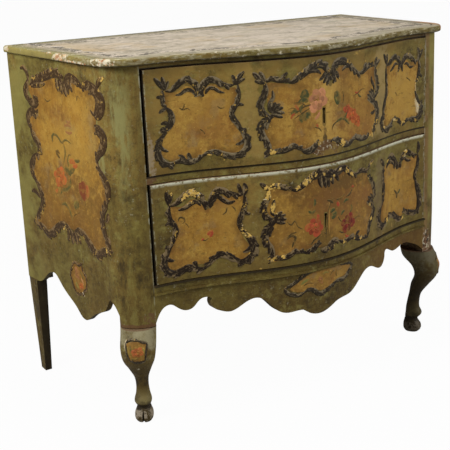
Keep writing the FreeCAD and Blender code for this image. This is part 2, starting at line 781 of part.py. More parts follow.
def drawer_side(floor):
    """Left drawer side: its front end is scribed to the back of the front."""
    base = drawer_base(floor)
    high = drawer_side_top(floor)
    side = box(-BOX_HALF, -INNER_HALF, front_end_y(floor), DRAWER_BACK_Y, base, high)
    scribe = slab(
        -DRAWER_HALF,
        -INNER_HALF + SPARE,
        base - SPARE,
        high + SPARE,
        -BOW_DEPTH,
        DRAWER_FRONT_THICKNESS,
    )
    return side.cut(scribe)


def drawer_bottom(floor):
    z0 = drawer_base(floor) + DRAWER_BOTTOM_LIFT
    z1 = z0 + DRAWER_BOTTOM_THICKNESS
    return slab(-INNER_HALF, INNER_HALF, z0, z1, DRAWER_FRONT_THICKNESS, far_y=DRAWER_BACK_Y)


def drawer_back(floor):
    """Back of a drawer, standing on its bottom between its sides."""
    z0 = drawer_base(floor) + DRAWER_BOTTOM_LIFT + DRAWER_BOTTOM_THICKNESS
    z1 = drawer_side_top(floor) - DRAWER_BACK_BELOW_SIDE
    near = DRAWER_BACK_Y - DRAWER_SIDE_THICKNESS
    return box(-INNER_HALF, INNER_HALF, near, DRAWER_BACK_Y, z0, z1)


# ---------------------------------------------------------------- nodes
def pair(name, shape):
    """A left piece and its mirror image."""
    return {"left_" + name: shape, "right_" + name: mirrored(shape)}


def case_nodes():
    holes = nails(HOLE_CLEARANCE)
    leg = rear_leg()
    nodes = {"top_board": top_board()}
    nodes.update(pair("side_panel", side_panel()))
    nodes.update(pair("corner_post", corner_post()))
    nodes.update(pair("front_leg", front_leg()))
    nodes["left_rear_leg"] = leg.cut(holes)
    nodes["right_rear_leg"] = mirrored(leg).cut(holes)
    nodes["top_front_rail"] = front_rail(UPPER_RAIL_FLOOR, CASE_TOP)
    nodes["middle_rail"] = front_rail(MIDDLE_RAIL_FLOOR, MIDDLE_RAIL_TOP)
    nodes["bottom_rail"] = bottom_rail()
    nodes["front_apron"] = front_apron()
    nodes["upper_bead"] = bead(BOTTOM_RAIL_TOP - BEAD_HEIGHT)
    nodes["lower_bead"] = bead(APRON_TOP)
    for index, name in enumerate(BACK_BOARD_NAMES):
        nodes[name] = back_board(index).cut(holes)
    nodes["bottom_board"] = panel_between_runners(BOTTOM_BOARD_FLOOR)
    nodes["dust_board"] = panel_between_runners(DUST_BOARD_FLOOR)
    nodes["rear_bottom_rail"] = rear_rail(BOTTOM_BOARD_FLOOR)
    nodes["rear_top_rail"] = rear_rail(CASE_TOP)
    for place, level in (("upper", MIDDLE_RAIL_TOP), ("lower", BOTTOM_RAIL_TOP)):
        nodes.update(pair(place + "_runner", runner(level)))
        nodes.update(pair(place + "_guide", guide(level)))
    nodes.update(pair("kicker", kicker()))
    nodes["drawer_stops"] = drawer_stops()
    nodes["glue_blocks"] = glue_blocks()
    nodes["back_nails"] = nails()
    return nodes


def drawer_nodes(prefix, floor, top):
    side = drawer_side(floor)
    return {
        prefix + "_drawer_front": drawer_front(floor, top),
        prefix + "_drawer_left_side": side,
        prefix + "_drawer_right_side": mirrored(side),
        prefix + "_drawer_back": drawer_back(floor),
        prefix + "_drawer_bottom": drawer_bottom(floor),
        prefix + "_lock_case": lock_case(top),
        prefix + "_lock_screws": lock_screws(top),
        prefix + "_lock_bolt": lock_bolt(top),
    }


def main():
    os.makedirs("parts", exist_ok=True)
    nodes = case_nodes()
    nodes.update(drawer_nodes("upper", UPPER_DRAWER_FLOOR, UPPER_DRAWER_TOP))
    nodes.update(drawer_nodes("lower", LOWER_DRAWER_FLOOR, LOWER_DRAWER_TOP))
    for name, shape in nodes.items():
        if not shape.isValid() or shape.Volume <= 0:
            raise ValueError(name + " is not a valid solid")
        shape.exportStep(os.path.join("parts", name + ".step"))
        print(name, len(shape.Solids), round(shape.Volume))


main()
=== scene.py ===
"""Paint, raised scrolls, top and front legs of a serpentine two-drawer chest, round its CAD frame.

Lengths are in millimetres in the tables and charts, and in metres in the meshes and settings.
A chart is a function of two lengths on a surface of the chest and a height above it, and every
scroll, panel and flower is worked out on a chart.
"""

import math

import bpy
import numpy as np
from mathutils import Matrix, Vector


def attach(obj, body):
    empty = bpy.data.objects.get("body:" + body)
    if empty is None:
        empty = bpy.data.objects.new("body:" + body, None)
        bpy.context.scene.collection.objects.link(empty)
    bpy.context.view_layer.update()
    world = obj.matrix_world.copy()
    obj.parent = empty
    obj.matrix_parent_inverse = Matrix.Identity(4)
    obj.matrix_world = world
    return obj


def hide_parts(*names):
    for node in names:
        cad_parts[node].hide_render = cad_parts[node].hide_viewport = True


bl_info = {
    "name": "Painted Chest",
    "version": (1, 0, 0),
    "blender": (4, 5, 0),
    "location": "View3D > Sidebar > Chest",
    "description": "Paints, carves and stages a serpentine two-drawer chest round its CAD frame",
    "category": "Object",
}

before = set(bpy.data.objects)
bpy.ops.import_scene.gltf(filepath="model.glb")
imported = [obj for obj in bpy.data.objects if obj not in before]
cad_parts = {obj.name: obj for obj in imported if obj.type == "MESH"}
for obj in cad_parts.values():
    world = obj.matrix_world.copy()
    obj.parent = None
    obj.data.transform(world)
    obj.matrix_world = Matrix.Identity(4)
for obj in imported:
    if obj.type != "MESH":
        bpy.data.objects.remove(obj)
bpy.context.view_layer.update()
MM = 0.001

# ---------------------------------------------------------------- sizes of the case, from its part
BOW = 98.5
LEAN = 12.5
OPENING_HALF = 437
DRAWER_HALF = 431
FRONT_END = -204.5
LEAN_FOOT = 368
LEAN_SPAN = 502.5
APRON_SETBACK = 5
BACK = 306
HALF_BACK = 554.5
HALF_FRONT = 515
SIDE_FOOT = -110
CORNER_RADIUS = 75
CASE_TOP = 883
TOP = 900
# The lowest and highest place of each drawer's front, and a share that sets the pale painted highlight
# along its upper edge.
DRAWERS = {"upper": (630.5, 870.5, 0.55), "lower": (368, 608, 1)}
TOP_OVERHANG = 8
CORNER_OVERHANG = 12
CORNER_FORWARD = 6
TOP_MIDDLE = np.array([0, 10])
LEG_TOP = 263
LEG_RADIUS = 43
LEG_TURN = math.radians(54.8)
LEG_FOOT = (-457.5, -147.5)
LEG_SQUARENESS = 2.3
# A station of a front leg: its height as a share of the leg's, then how far the leg reaches
# inwards, outwards and to each side of its foot's middle, in leg radii.
LEG_STATIONS = np.array(
    (
        (0.000, -0.48, 0.42, 0.42),
        (0.022, -0.58, 0.55, 0.50),
        (0.070, -0.62, 0.58, 0.54),
        (0.150, -0.54, 0.34, 0.40),
        (0.215, -0.49, 0.60, 0.50),
        (0.290, -0.46, 0.44, 0.40),
        (0.370, -0.38, 0.43, 0.36),
        (0.455, -0.28, 0.53, 0.40),
        (0.575, -0.16, 1.03, 0.64),
        (0.690, 0.06, 1.54, 0.90),
        (0.800, -0.14, 1.66, 1.00),
        (0.915, -0.80, 1.44, 1.00),
        (1.000, -0.96, 1.20, 1.00),
    )
)
# Up to where a leg's rings lie closer, over what height its cleft fades out, and the place and the
# width of the ring cut over its hoof.
HOOF_FINE = 60
CLEFT_FADE = 14
BAND_HEIGHT = 41
BAND_WIDTH = 2.6

# Steps of the meshes: along the top's side and its corner, half its front, the curve through the
# two, its rounded edges, its back and its middle; round a leg, crowded towards its outside and its
# inside, up its hoof and up the rest; round a panel and across it.
CORNER_STEPS = 30
BROW_STEPS = 70
WAVE_STEPS = 90
ROUND_STEPS = 7
BACK_STEPS = 62
FIELD_RINGS = 34
LEG_STEPS = 84
LEG_CROWDING = 0.42
HOOF_RINGS = 46
SHANK_RINGS = 90
PANEL_STEPS = 168
PANEL_RING_WIDTH = 9

# How a stroke is cut: the length of one step along it, the points across it, the hollow along its
# middle, the least width of its lobed side and what a lobe adds, the half width of its foot, and
# how deep the foot lies below the surface. A scroll starts from SCROLL_BASE above the surface.
SECTION_STEP = 2.4
RINGS_ACROSS = 7
HOLLOW_DEPTH = 0.12
HOLLOW_WIDTH = 0.35
SCALLOP_LEAST = 0.72
SCALLOP_DEPTH = 0.62
FOOT_HALF_WIDTH = 0.75
FOOTING = 0.6
SCROLL_BASE = 0.35

# The top's border: what its strokes start from, where in a pitch the first one starts, how far
# they wander in and out, and where the row along the back starts and how long it is.
BORDER_BASE = 0.08
BORDER_START = 0.04
BORDER_WANDER = 5
BACK_BORDER_LEFT = -520
BACK_BORDER_LENGTH = 1080

# A crest is a leaf on a lobe: how far ahead and aside its points lie, and its width, as shares of
# the scroll's half width. A rose's ring is described with its function.
CREST_REACH = ((-0.9, 0), (0.3, 0.5), (1.2, 1.25))
CREST_WIDTH = 0.58
CREST_BASE = 0.5
ROSE_RINGS = (0.30, 0.92, 0.46, 1), (0.22, 0.66, 0.34, 0.78), (0.06, 0.42, 0.22, 1.1)
PETAL_STATIONS = np.array([0, 0.5, 1])
PETAL_TWIST = np.array([0, 0.5, 1.15])

# Numbers that stretch a noise along x, y and z: the least lies along the grain or the brush.
ALONG_X = (5, 95, 95)
ALONG_Y = (95, 5, 95)
ALONG_Z = (95, 95, 5)
BRUSH_X = (9, 70, 70)
BRUSH_Z = (55, 55, 9)
BRUSH_SIDE = (14, 14, 42)
BRUSH_NOSE = (14, 14, 120)

# The specular level of every finish.
WAXED_GLOSS = 0.16

# Sides and nodes that loops run over, and how far round the leg each knee's shield is moved.
SIDES = ("left", -1), ("right", 1)
KNEE_ASIDE = {"left": 0, "right": -14}
RAILS = "top_front_rail", "middle_rail", "bottom_rail", "upper_bead", "lower_bead"
ACROSS_BOARDS = (
    "bottom_board", "dust_board", "rear_bottom_rail", "rear_top_rail", "drawer_stops", "glue_blocks",
)
DRAWER_STRIPS = "_upper_runner", "_upper_guide", "_lower_runner", "_lower_guide", "_kicker"

# A keyhole's half width and half height.
KEYHOLE = (6.5, 24)

# The stage, in metres: the floor's reach, each lamp's place and size, and where the lamps point.
FLOOR_REACH = 40
LAMPS = (
    ("key", (-2.2, -0.4, 2.2), 1.2),
    ("fill", (2.3, -2.7, 2.2), 1.8),
    ("overhead", (0.2, 0.3, 3.2), 1.6),
)
LAMP_AIM = (0, -0.1, 0.5)

# ---------------------------------------------------------------- scrolls and panels
# A row of a scroll is its half width and the points that it runs through. Three numbers in the
# half width's place add where along it it is widest, in place of halfway, and how many lobes it
# has: on its left side when positive, on its right when negative.
# A panel is its centre, the points of its outline, and its keyhole where it has one.
# On the drawers points are across and up, in the chest's own x and z.
UPPER_LEFT = (
    (6.1, -405, 852, -393, 838, -380, 821),
    (5.5, -385, 853, -382, 839, -379, 823),
    (4.4, -370, 842, -375, 832, -380, 821),
    ((7.2, 0.6, 5), -380, 819, -363, 820, -349, 830, -336, 839, -323, 840, -312, 831, -305, 818,
     -305, 806, -313, 800),
    ((4.6, 0.4, 0), -310, 803, -315, 813, -324, 818, -334, 816, -343, 810, -357, 808),
    ((7.5, 0.35, -5), -290, 799, -298, 810, -293, 825, -284, 834, -273, 838, -262, 835, -251, 827,
     -239, 822, -221, 821),
    ((4.6, 0.35, 0), -287, 804, -283, 813, -277, 818, -267, 817, -257, 809, -242, 804),
    ((6.1, 0.4, 0), -219, 820, -211, 837, -198, 851),
    (5, -220, 820, -221, 833, -226, 845),
    (4.4, -217, 822, -206, 831, -196, 834),
    ((5, 0.5, 3), -387, 824, -387, 804, -386, 789, -377, 780),
    ((3.9, 0.6, 0), -384, 803, -393, 807, -402, 808),
    (4.4, -377, 782, -389, 777, -398, 771),
    ((7.2, 0.5, -4), -380, 783, -370, 772, -366, 757, -371, 743, -383, 730, -392, 715),
    (4.4, -373, 744, -385, 748, -395, 746),
    (4.4, -381, 732, -390, 735, -398, 731),
    ((8.2, 0.6, -5), -386, 724, -398, 708, -405, 691, -405, 676, -397, 660, -382, 651, -362, 655),
    ((4.4, 0.4, 0), -402, 700, -393, 688, -379, 681),
    ((6.1, 0.5, 4), -374, 653, -352, 655, -330, 650, -312, 655, -295, 667),
    ((7.7, 0.72, -8), -305, 659, -290, 669, -276, 671, -262, 667, -246, 660, -228, 656, -211, 660,
     -199, 674, -197, 690, -204, 706, -214, 725),
    (4.4, -341, 653, -347, 664, -358, 671),
    ((5, 0.7, 0), -324, 653, -331, 663, -334, 674),
    ((6.1, 0.35, 5), -209, 710, -216, 729, -225, 742, -230, 756, -224, 768, -217, 780, -212, 797,
     -214, 824),
    ((3.9, 0.6, 0), -224, 766, -213, 776, -201, 773),
    ((4.4, 0.4, 0), -202, 696, -212, 685, -225, 682),
)
UPPER_LEFT_PANEL = (-300, 742), (
    -382, 817, -352, 815, -330, 827, -308, 814, -296, 796, -284, 822, -262, 825, -244, 813,
    -219, 815, -218, 790, -232, 757, -222, 726, -206, 692, -210, 668, -240, 664, -275, 674,
    -300, 662, -335, 658, -372, 658, -396, 674, -394, 704, -378, 728, -366, 757, -380, 785,
)
UPPER_RIGHT = (
    (5.5, 245, 848, 253, 834, 260, 818),
    (4.4, 263, 846, 261, 834, 260, 820),
    ((6.6, 0.6, 5), 258, 816, 275, 820, 290, 830, 303, 833, 315, 827, 323, 816, 328, 802),
    ((4.4, 0.4, 0), 321, 817, 320, 803, 314, 791),
    ((4.4, 0.4, 0), 330, 814, 334, 802, 336, 790),
    (4.4, 276, 798, 290, 806, 304, 816, 317, 811),
    ((7.2, 0.35, -5), 331, 803, 338, 819, 349, 829, 361, 831, 376, 824, 389, 814, 405, 813),
    (4.4, 343, 808, 354, 811, 362, 806, 371, 799, 386, 800),
    (6.1, 400, 811, 408, 830, 400, 848),
    (5, 405, 813, 413, 829, 422, 843),
    ((5.5, 0.6, 5), 258, 820, 256, 800, 257, 780, 259, 760, 256, 740, 249, 722, 243, 704, 243, 687,
     252, 673),
    ((7.7, 0.45, -4), 246, 694, 236, 680, 236, 667, 243, 656, 260, 650, 277, 657, 292, 671),
    ((6.1, 0.5, 4), 279, 663, 300, 671, 318, 663, 338, 651, 355, 657, 374, 659),
    ((8.2, 0.6, -7), 362, 660, 384, 659, 399, 656, 411, 666, 415, 684, 409, 704),
    ((5.5, 0.4, 3), 406, 815, 408, 796, 405, 779, 401, 765, 392, 750),
    ((3.9, 0.6, 0), 402, 770, 412, 774, 420, 766),
    ((5, 0.6, 0), 390, 738, 398, 718, 407, 702, 415, 690),
)
UPPER_RIGHT_PANEL = (325, 738), (
    259, 815, 280, 814, 300, 824, 318, 812, 332, 798, 350, 820, 372, 812, 404, 810, 406, 780,
    396, 752, 400, 722, 416, 692, 418, 668, 398, 660, 360, 664, 338, 656, 312, 669, 280, 666,
    250, 660, 246, 684, 250, 706, 260, 740, 259, 780,
)
LOWER_LEFT = (
    (6.3, -393, 590, -391, 574, -387, 553),
    (5.1, -379, 585, -383, 570, -387, 556),
    ((8.3, 0.62, 5), -387, 553, -368, 557, -354, 567, -342, 575, -331, 577, -318, 570, -309, 559,
     -302, 546, -300, 531),
    (5.8, -367, 540, -350, 543, -333, 552, -322, 555, -310, 543),
    ((8.3, 0.35, -5), -291, 534, -287, 551, -280, 567, -270, 577, -258, 575, -246, 567, -235, 564,
     -214, 558),
    (5.8, -284, 557, -270, 561, -257, 551, -244, 544, -229, 548),
    (6.3, -211, 557, -206, 573, -209, 589),
    (5.1, -213, 558, -219, 573, -223, 590),
    ((6.3, 0.5, 5), -209, 561, -209, 540, -214, 520, -221, 504, -223, 488, -218, 472, -207, 457),
    ((4.5, 0.6, 0), -215, 519, -206, 514, -196, 511),
    ((9.4, 0.55, 5), -213, 468, -200, 448, -192, 430, -193, 413, -203, 400, -220, 394, -238, 400),
    ((7.8, 0.4, -5), -222, 396, -240, 402, -256, 413, -272, 417, -288, 409, -300, 396, -313, 387),
    ((9.1, 0.7, 8), -300, 394, -318, 388, -333, 392, -348, 398, -366, 392, -384, 387, -400, 394,
     -409, 409, -408, 426, -398, 444, -386, 462),
    ((6.3, 0.8, 0), -328, 391, -332, 401, -333, 411),
    ((7, 0.5, 4), -392, 448, -381, 472, -374, 489, -378, 506, -387, 520, -389, 538, -387, 556),
    ((4.5, 0.6, 0), -379, 507, -390, 512, -400, 508),
    ((5.1, 0.4, 0), -404, 434, -395, 423, -382, 419),
    ((5.1, 0.4, 0), -197, 434, -206, 421, -219, 417),
)
LOWER_LEFT_PANEL = (-300, 470), (
    -386, 549, -356, 548, -330, 562, -310, 552, -297, 532, -280, 560, -256, 562, -212, 555,
    -212, 528, -226, 488, -216, 456, -202, 430, -202, 408, -232, 400, -268, 411, -300, 401,
    -340, 402, -380, 394, -400, 408, -398, 430, -384, 460, -373, 489, -386, 520,
)
LOWER_RIGHT = (
    ((7.6, 0.5, -5), 262, 555, 272, 571, 284, 576, 296, 566, 306, 553, 316, 545, 330, 546),
    (5.1, 256, 546, 270, 558, 284, 558, 298, 546),
    ((6.3, 0.6, 0), 300, 556, 301, 546, 297, 536),
    ((6.3, 0.6, 0), 312, 550, 314, 541, 311, 531),
    ((5.8, 0.6, 0), 325, 550, 328, 541, 327, 532),
    ((7.6, 0.4, -4), 328, 546, 334, 560, 346, 569, 360, 571, 376, 564, 392, 557, 404, 556),
    (5.1, 334, 551, 348, 556, 358, 549, 378, 544),
    (6.3, 403, 558, 409, 575, 406, 593),
    ((6.3, 0.5, 5), 406, 559, 405, 536, 402, 520, 395, 508, 392, 494, 399, 478),
    ((9.4, 0.6, 5), 395, 488, 401, 468, 408, 450, 412, 432, 411, 412, 405, 397, 392, 390),
    ((7.6, 0.3, -5), 408, 393, 390, 391, 374, 396, 360, 398, 348, 406, 336, 404),
    ((8.3, 0.4, -5), 344, 392, 328, 388, 314, 392, 302, 402, 290, 409, 276, 411, 262, 403, 246,
     396),
    ((8.9, 0.5, 4), 260, 398, 241, 393, 226, 402, 219, 417, 224, 435, 233, 452),
    ((6.3, 0.5, -5), 229, 444, 239, 462, 242, 482, 243, 500, 240, 520, 241, 540, 248, 558),
    (6.3, 247, 554, 238, 567, 228, 577),
)
LOWER_RIGHT_PANEL = (318, 470), (
    250, 552, 282, 556, 302, 540, 330, 536, 346, 556, 372, 552, 403, 552, 404, 528, 390, 496,
    402, 466, 414, 438, 410, 410, 388, 398, 350, 406, 330, 395, 305, 405, 280, 414, 250, 402,
    230, 402, 226, 420, 236, 448, 244, 490, 244, 530,
)
UPPER_MIDDLE = (
    (6.6, -179, 847, -167, 834, -152, 821),
    (5.4, -176, 827, -165, 824, -150, 820),
    (6, -163, 848, -157, 834, -152, 820),
    ((7.8, 0.55, -5), -152, 823, -150, 800, -157, 785, -164, 768, -159, 753, -147, 743, -132, 739),
    (5, -135, 803, -134, 786, -142, 771, -143, 757, -133, 747),
    (5.4, -139, 747, -124, 742, -111, 736),
    (5.4, -139, 749, -122, 749, -106, 747),
    (5.4, -139, 752, -124, 757, -109, 760),
    (5.4, -139, 753, -129, 763, -116, 769),
    (5.4, -140, 752, -136, 764, -127, 774),
    ((8.4, 0.35, -5), -132, 745, -148, 735, -160, 725, -165, 711, -161, 697, -153, 683, -147, 668,
     -150, 652, -160, 643),
    (4.8, -141, 734, -150, 724, -152, 710),
    ((6.6, 0.5, 5), -160, 645, -142, 655, -125, 656, -108, 657, -94, 661, -83, 664, -70, 657, -57,
     649),
    (4.8, -101, 658, -91, 668, -79, 669),
    ((7.8, 0.5, 4), -65, 650, -48, 647, -34, 652, -22, 661, -11, 664),
    ((7.8, 0.5, 4), 18, 664, 32, 664, 48, 659, 64, 649, 82, 646, 102, 652),
    ((7.2, 0.5, 4), 90, 649, 110, 658, 128, 652, 144, 649, 162, 650, 180, 653),
    ((8.4, 0.6, -7), 186, 644, 190, 662, 203, 679, 210, 697, 208, 715, 198, 730, 180, 739, 163,
     746),
    (5.4, 188, 739, 175, 748, 163, 757),
    (5.4, 192, 741, 182, 755, 170, 765),
    (5.4, 196, 742, 190, 757, 180, 770),
    (4.8, 200, 712, 188, 706, 178, 708),
    ((7.2, 0.5, -4), 194, 740, 208, 757, 213, 773, 208, 789, 202, 804, 201, 823),
    (5, 184, 801, 184, 789, 193, 776, 197, 760),
    (6, 200, 818, 211, 829, 226, 837),
    (4.8, 199, 820, 203, 833, 213, 845),
    ((6, 0.5, 4), -153, 821, -136, 828, -120, 824, -104, 822, -88, 817),
    (4.8, -109, 822, -106, 832, -97, 841),
    ((9, 0.65, 9), -97, 818, -84, 817, -72, 822, -58, 831, -44, 840, -30, 847, -16, 852, 0, 849, 10,
     839, 15, 824, 12, 806),
    (4.8, -75, 820, -70, 831, -59, 839),
    ((5.4, 0.4, 0), 8, 833, -3, 820, -14, 814),
    ((5.4, 0.4, 0), 12, 825, 6, 813, -2, 806),
    ((5.4, 0.4, 0), 15, 822, 14, 810, 9, 799),
    (4.8, -46, 834, -30, 838, -16, 836, -6, 828),
    ((9, 0.35, -8), 41, 804, 31, 820, 32, 837, 40, 849, 57, 854, 75, 850, 91, 840, 106, 827, 122,
     817, 142, 813),
    ((5.4, 0.4, 0), 36, 826, 35, 812, 30, 801),
    ((5.4, 0.4, 0), 42, 831, 46, 819, 53, 809),
    ((6.6, 0.5, 4), 128, 815, 146, 816, 160, 823, 178, 828, 198, 824),
    (4.8, 149, 818, 152, 829, 163, 837),
    (4.3, 60, 829, 76, 838, 94, 834),
)
UPPER_MIDDLE_PANEL = (0, 727.5), (
    -150, 818, -120, 818, -88, 812, -60, 824, -30, 838, 2, 836, 10, 812, 22, 796, 34, 812, 50, 838,
    76, 840, 104, 822, 140, 808, 164, 817, 200, 820, 203, 790, 202, 768, 176, 748, 200, 728,
    208, 704, 196, 676, 186, 651, 150, 652, 126, 656, 84, 650, 46, 661, 20, 668, -12, 666,
    -40, 654, -70, 658, -100, 660, -152, 652, -150, 680, -162, 704, -156, 728, -130, 748,
    -146, 766, -148, 790,
), KEYHOLE
LOWER_MIDDLE = (
    (6, -172, 585, -161, 574, -149, 564),
    ((6.6, 0.5, 4), -154, 565, -138, 572, -122, 570, -108, 564, -90, 559),
    ((7.8, 0.6, 7), -97, 559, -83, 557, -70, 562, -56, 571, -42, 580, -26, 590, -12, 593, 4, 584),
    ((10, 0.5, 5), -40, 579, -14, 583, 12, 582, 38, 580, 64, 585),
    (7.2, -16, 591, -16, 571, -9, 551),
    (7.2, -3, 589, -2, 568, 2, 549),
    (7.2, 10, 589, 9, 570, 12, 549),
    (7.2, 22, 590, 22, 572, 25, 554),
    (6, 35, 589, 37, 574, 45, 559),
    ((7.8, 0.4, -6), 36, 588, 54, 592, 70, 587, 86, 576, 100, 567, 120, 563),
    ((6, 0.5, 4), 110, 563, 130, 568, 146, 565, 165, 557),
    (4.8, 160, 560, 176, 577, 196, 584),
    ((7.8, 0.55, -5), -151, 567, -152, 548, -160, 534, -165, 518, -161, 503, -149, 492, -133, 488),
    (5.8, -140, 543, -142, 524, -145, 508, -136, 497),
    (5.4, -141, 487, -126, 482, -112, 478),
    (5.4, -141, 489, -124, 489, -108, 488),
    (5.4, -141, 491, -126, 496, -111, 500),
    (5.4, -141, 492, -131, 502, -119, 508),
    ((8.4, 0.35, -5), -136, 486, -150, 476, -160, 464, -164, 448, -160, 434, -151, 420, -147, 404,
     -150, 390, -159, 380),
    (4.8, -142, 472, -151, 462, -153, 447),
    ((6.6, 0.5, 5), -157, 386, -136, 391, -120, 390, -106, 393, -92, 401, -78, 400, -60, 394),
    ((7.2, 0.6, 4), -68, 396, -50, 395, -38, 400, -30, 408, -14, 412),
    ((7.8, 0.5, 4), -18, 394, -4, 390, 10, 392, 26, 391),
    ((7.2, 0.5, -4), 2, 396, 16, 406, 30, 411, 44, 404),
    ((6.6, 0.5, 6), 42, 407, 60, 398, 78, 400, 92, 403, 106, 398, 122, 391, 140, 388, 163, 383),
    (4.8, 106, 399, 114, 408, 126, 411),
    ((7.8, 0.6, -6), 162, 381, 163, 398, 168, 414, 178, 430, 188, 444, 190, 456, 175, 469),
    (6, 182, 466, 170, 473, 158, 482),
    (6, 184, 470, 175, 482, 164, 493),
    (5.4, 187, 471, 184, 486, 176, 498),
    ((7.2, 0.5, -5), 182, 476, 194, 492, 191, 510, 184, 528, 172, 540, 162, 549),
)
LOWER_MIDDLE_PANEL = (0, 465), (
    -150, 566, -120, 562, -90, 554, -60, 564, -30, 580, 0, 574, 40, 578, 70, 580, 104, 560,
    160, 556, 166, 536, 186, 512, 188, 488, 172, 472, 186, 450, 172, 420, 163, 392, 120, 396,
    84, 402, 40, 404, 0, 398, -36, 403, -80, 401, -152, 388, -149, 412, -162, 440, -154, 472,
    -134, 489, -160, 508, -156, 536,
), KEYHOLE

# On a side the points are the distance forward from the back corner, and the height.
SIDE = (
    (7.2, 66, 846, 82, 851, 96, 845, 106, 828, 100, 812),
    ((10.4, 0.5, 4), 104, 822, 94, 808, 84, 793, 88, 778, 102, 768),
    ((11.1, 0.6, 4), 90, 776, 102, 767, 119, 762, 137, 765, 153, 773),
    (7.2, 122, 784, 136, 778, 150, 779),
    ((10.4, 0.45, 5), 145, 752, 133, 740, 118, 744, 96, 738, 85, 726, 86, 711, 99, 694),
    (5.7, 142, 742, 128, 732, 112, 733),
    ((10.4, 0.45, 5), 93, 702, 107, 679, 125, 665, 134, 651, 125, 637, 107, 629),
    ((10.4, 0.6, 5), 112, 634, 93, 618, 80, 598, 81, 579, 92, 560),
    (5.7, 104, 620, 96, 604, 92, 590),
    ((10.4, 0.45, 6), 86, 570, 107, 551, 121, 530, 125, 512, 118, 494, 104, 479, 88, 462, 62, 440),
    ((6.8, 0.6, 0), 66, 526, 82, 531, 100, 527, 113, 517),
    ((11.1, 0.6, -7), 64, 441, 100, 442, 121, 437, 136, 428, 154, 429, 171, 440, 193, 454, 214, 466,
     243, 470, 264, 461),
    (7.9, 246, 464, 250, 446, 244, 430),
    (8.6, 260, 463, 268, 446, 266, 426),
    (8.6, 275, 463, 284, 446, 290, 430),
    (7.2, 288, 464, 299, 450, 308, 436),
    ((11.1, 0.65, -7), 278, 463, 304, 473, 321, 470, 339, 458, 357, 446, 375, 432, 388, 429, 407,
     440, 429, 451, 456, 453),
    ((10.4, 0.45, 7), 449, 452, 436, 476, 424, 497, 420, 519, 425, 541, 439, 556, 446, 573),
    (6.1, 446, 546, 444, 531, 434, 519),
    (6.1, 430, 484, 442, 478, 448, 466),
    ((9.5, 0.5, 5), 444, 566, 451, 588, 449, 610, 438, 628, 422, 644, 413, 662),
    ((10.4, 0.5, 5), 418, 650, 413, 664, 425, 680, 440, 692, 447, 709, 446, 727, 435, 741, 409,
     745),
    (5.7, 408, 727, 426, 730, 437, 718),
    ((11.5, 0.6, 8), 414, 766, 436, 768, 447, 786, 447, 806, 436, 823, 411, 834, 386, 838, 364,
     828),
    (7.2, 398, 781, 414, 772, 429, 787, 432, 808, 414, 820, 393, 815),
    (7.2, 432, 832, 445, 850, 459, 860),
    ((9.5, 0.5, 5), 372, 826, 354, 838, 332, 845, 314, 848, 296, 841, 288, 824),
    (7.5, 248, 840, 253, 822, 259, 806),
    (8.6, 262, 838, 268, 820, 277, 803),
    (8.6, 284, 836, 288, 818, 295, 798),
    (7.5, 302, 838, 304, 820, 306, 804),
    (6.6, 314, 838, 318, 824, 324, 812),
    ((11.1, 0.7, 8), 110, 808, 122, 816, 143, 823, 168, 830, 196, 838, 221, 845, 250, 850, 270, 842,
     277, 826),
    (7.2, 116, 806, 143, 812, 168, 815, 196, 821),
)
SIDE_PANEL = (270, 640), (
    104, 806, 150, 818, 200, 830, 250, 836, 280, 812, 312, 838, 350, 832, 400, 828, 440, 810,
    440, 778, 414, 756, 440, 735, 442, 704, 418, 664, 436, 634, 446, 590, 430, 550, 424, 510,
    448, 458, 400, 446, 376, 440, 330, 470, 268, 466, 230, 474, 180, 452, 140, 438, 74, 446,
    116, 490, 122, 520, 92, 566, 86, 604, 130, 650, 92, 706, 96, 736, 136, 754, 96, 780,
)
SIDE_SHIELD = (
    ((3.8, 0.5, 4), 254, 374, 270, 380, 284, 376, 306, 386),
    ((3.6, 0.5, -3), 300, 384, 308, 364, 318, 356, 319, 334),
    ((3.8, 0.5, 3), 319, 340, 314, 318, 304, 312, 300, 296),
    ((3.8, 0.5, -3), 304, 298, 284, 300, 272, 294, 254, 302),
    ((3.6, 0.5, 3), 258, 298, 250, 314, 246, 326, 238, 338),
    ((3.8, 0.5, -4), 237, 334, 244, 352, 250, 360, 257, 380),
)
SIDE_SHIELD_PANEL = (280, 340), (258, 374, 302, 380, 316, 338, 300, 303, 258, 305, 241, 338)
APRON = (
    ((5, 0.5, 4), -119, 307, -97, 314, -76, 326, -58, 336, -36, 341),
    ((5, 0.35, 3), -117, 309, -112, 297, -97, 288, -76, 283, -60, 291),
    ((6, 0.6, -6), -68, 285, -52, 295, -34, 289, -18, 276, 2, 280, 14, 286, 36, 297),
    ((5.5, 0.5, -4), 22, 293, 46, 299, 64, 297, 82, 311, 102, 329),
    ((4.5, 0.5, -4), 42, 341, 72, 338, 102, 327),
)
APRON_PANEL = (0, 311), (
    -102, 302, -78, 320, -40, 336, 0, 339, 50, 338, 96, 328, 74, 305, 50, 303, 20, 293, -12, 284,
    -40, 294, -75, 291,
)
KNEE_SHIELD = (
    ((3.2, 0.5, 3), -25, 233, -10, 242, 6, 239),
    (3.2, 2, 241, 14, 236, 26, 232),
    (3.4, 25, 235, 22, 213, 19, 190),
    ((3.4, 0.5, -3), 21, 190, 4, 186, -17, 192),
    (3.2, -15, 190, -21, 210, -25, 236),
)
KNEE_PANEL = (0, 213), (-22, 233, -7, 238, 23, 231, 19, 193, 2, 189, -16, 194)

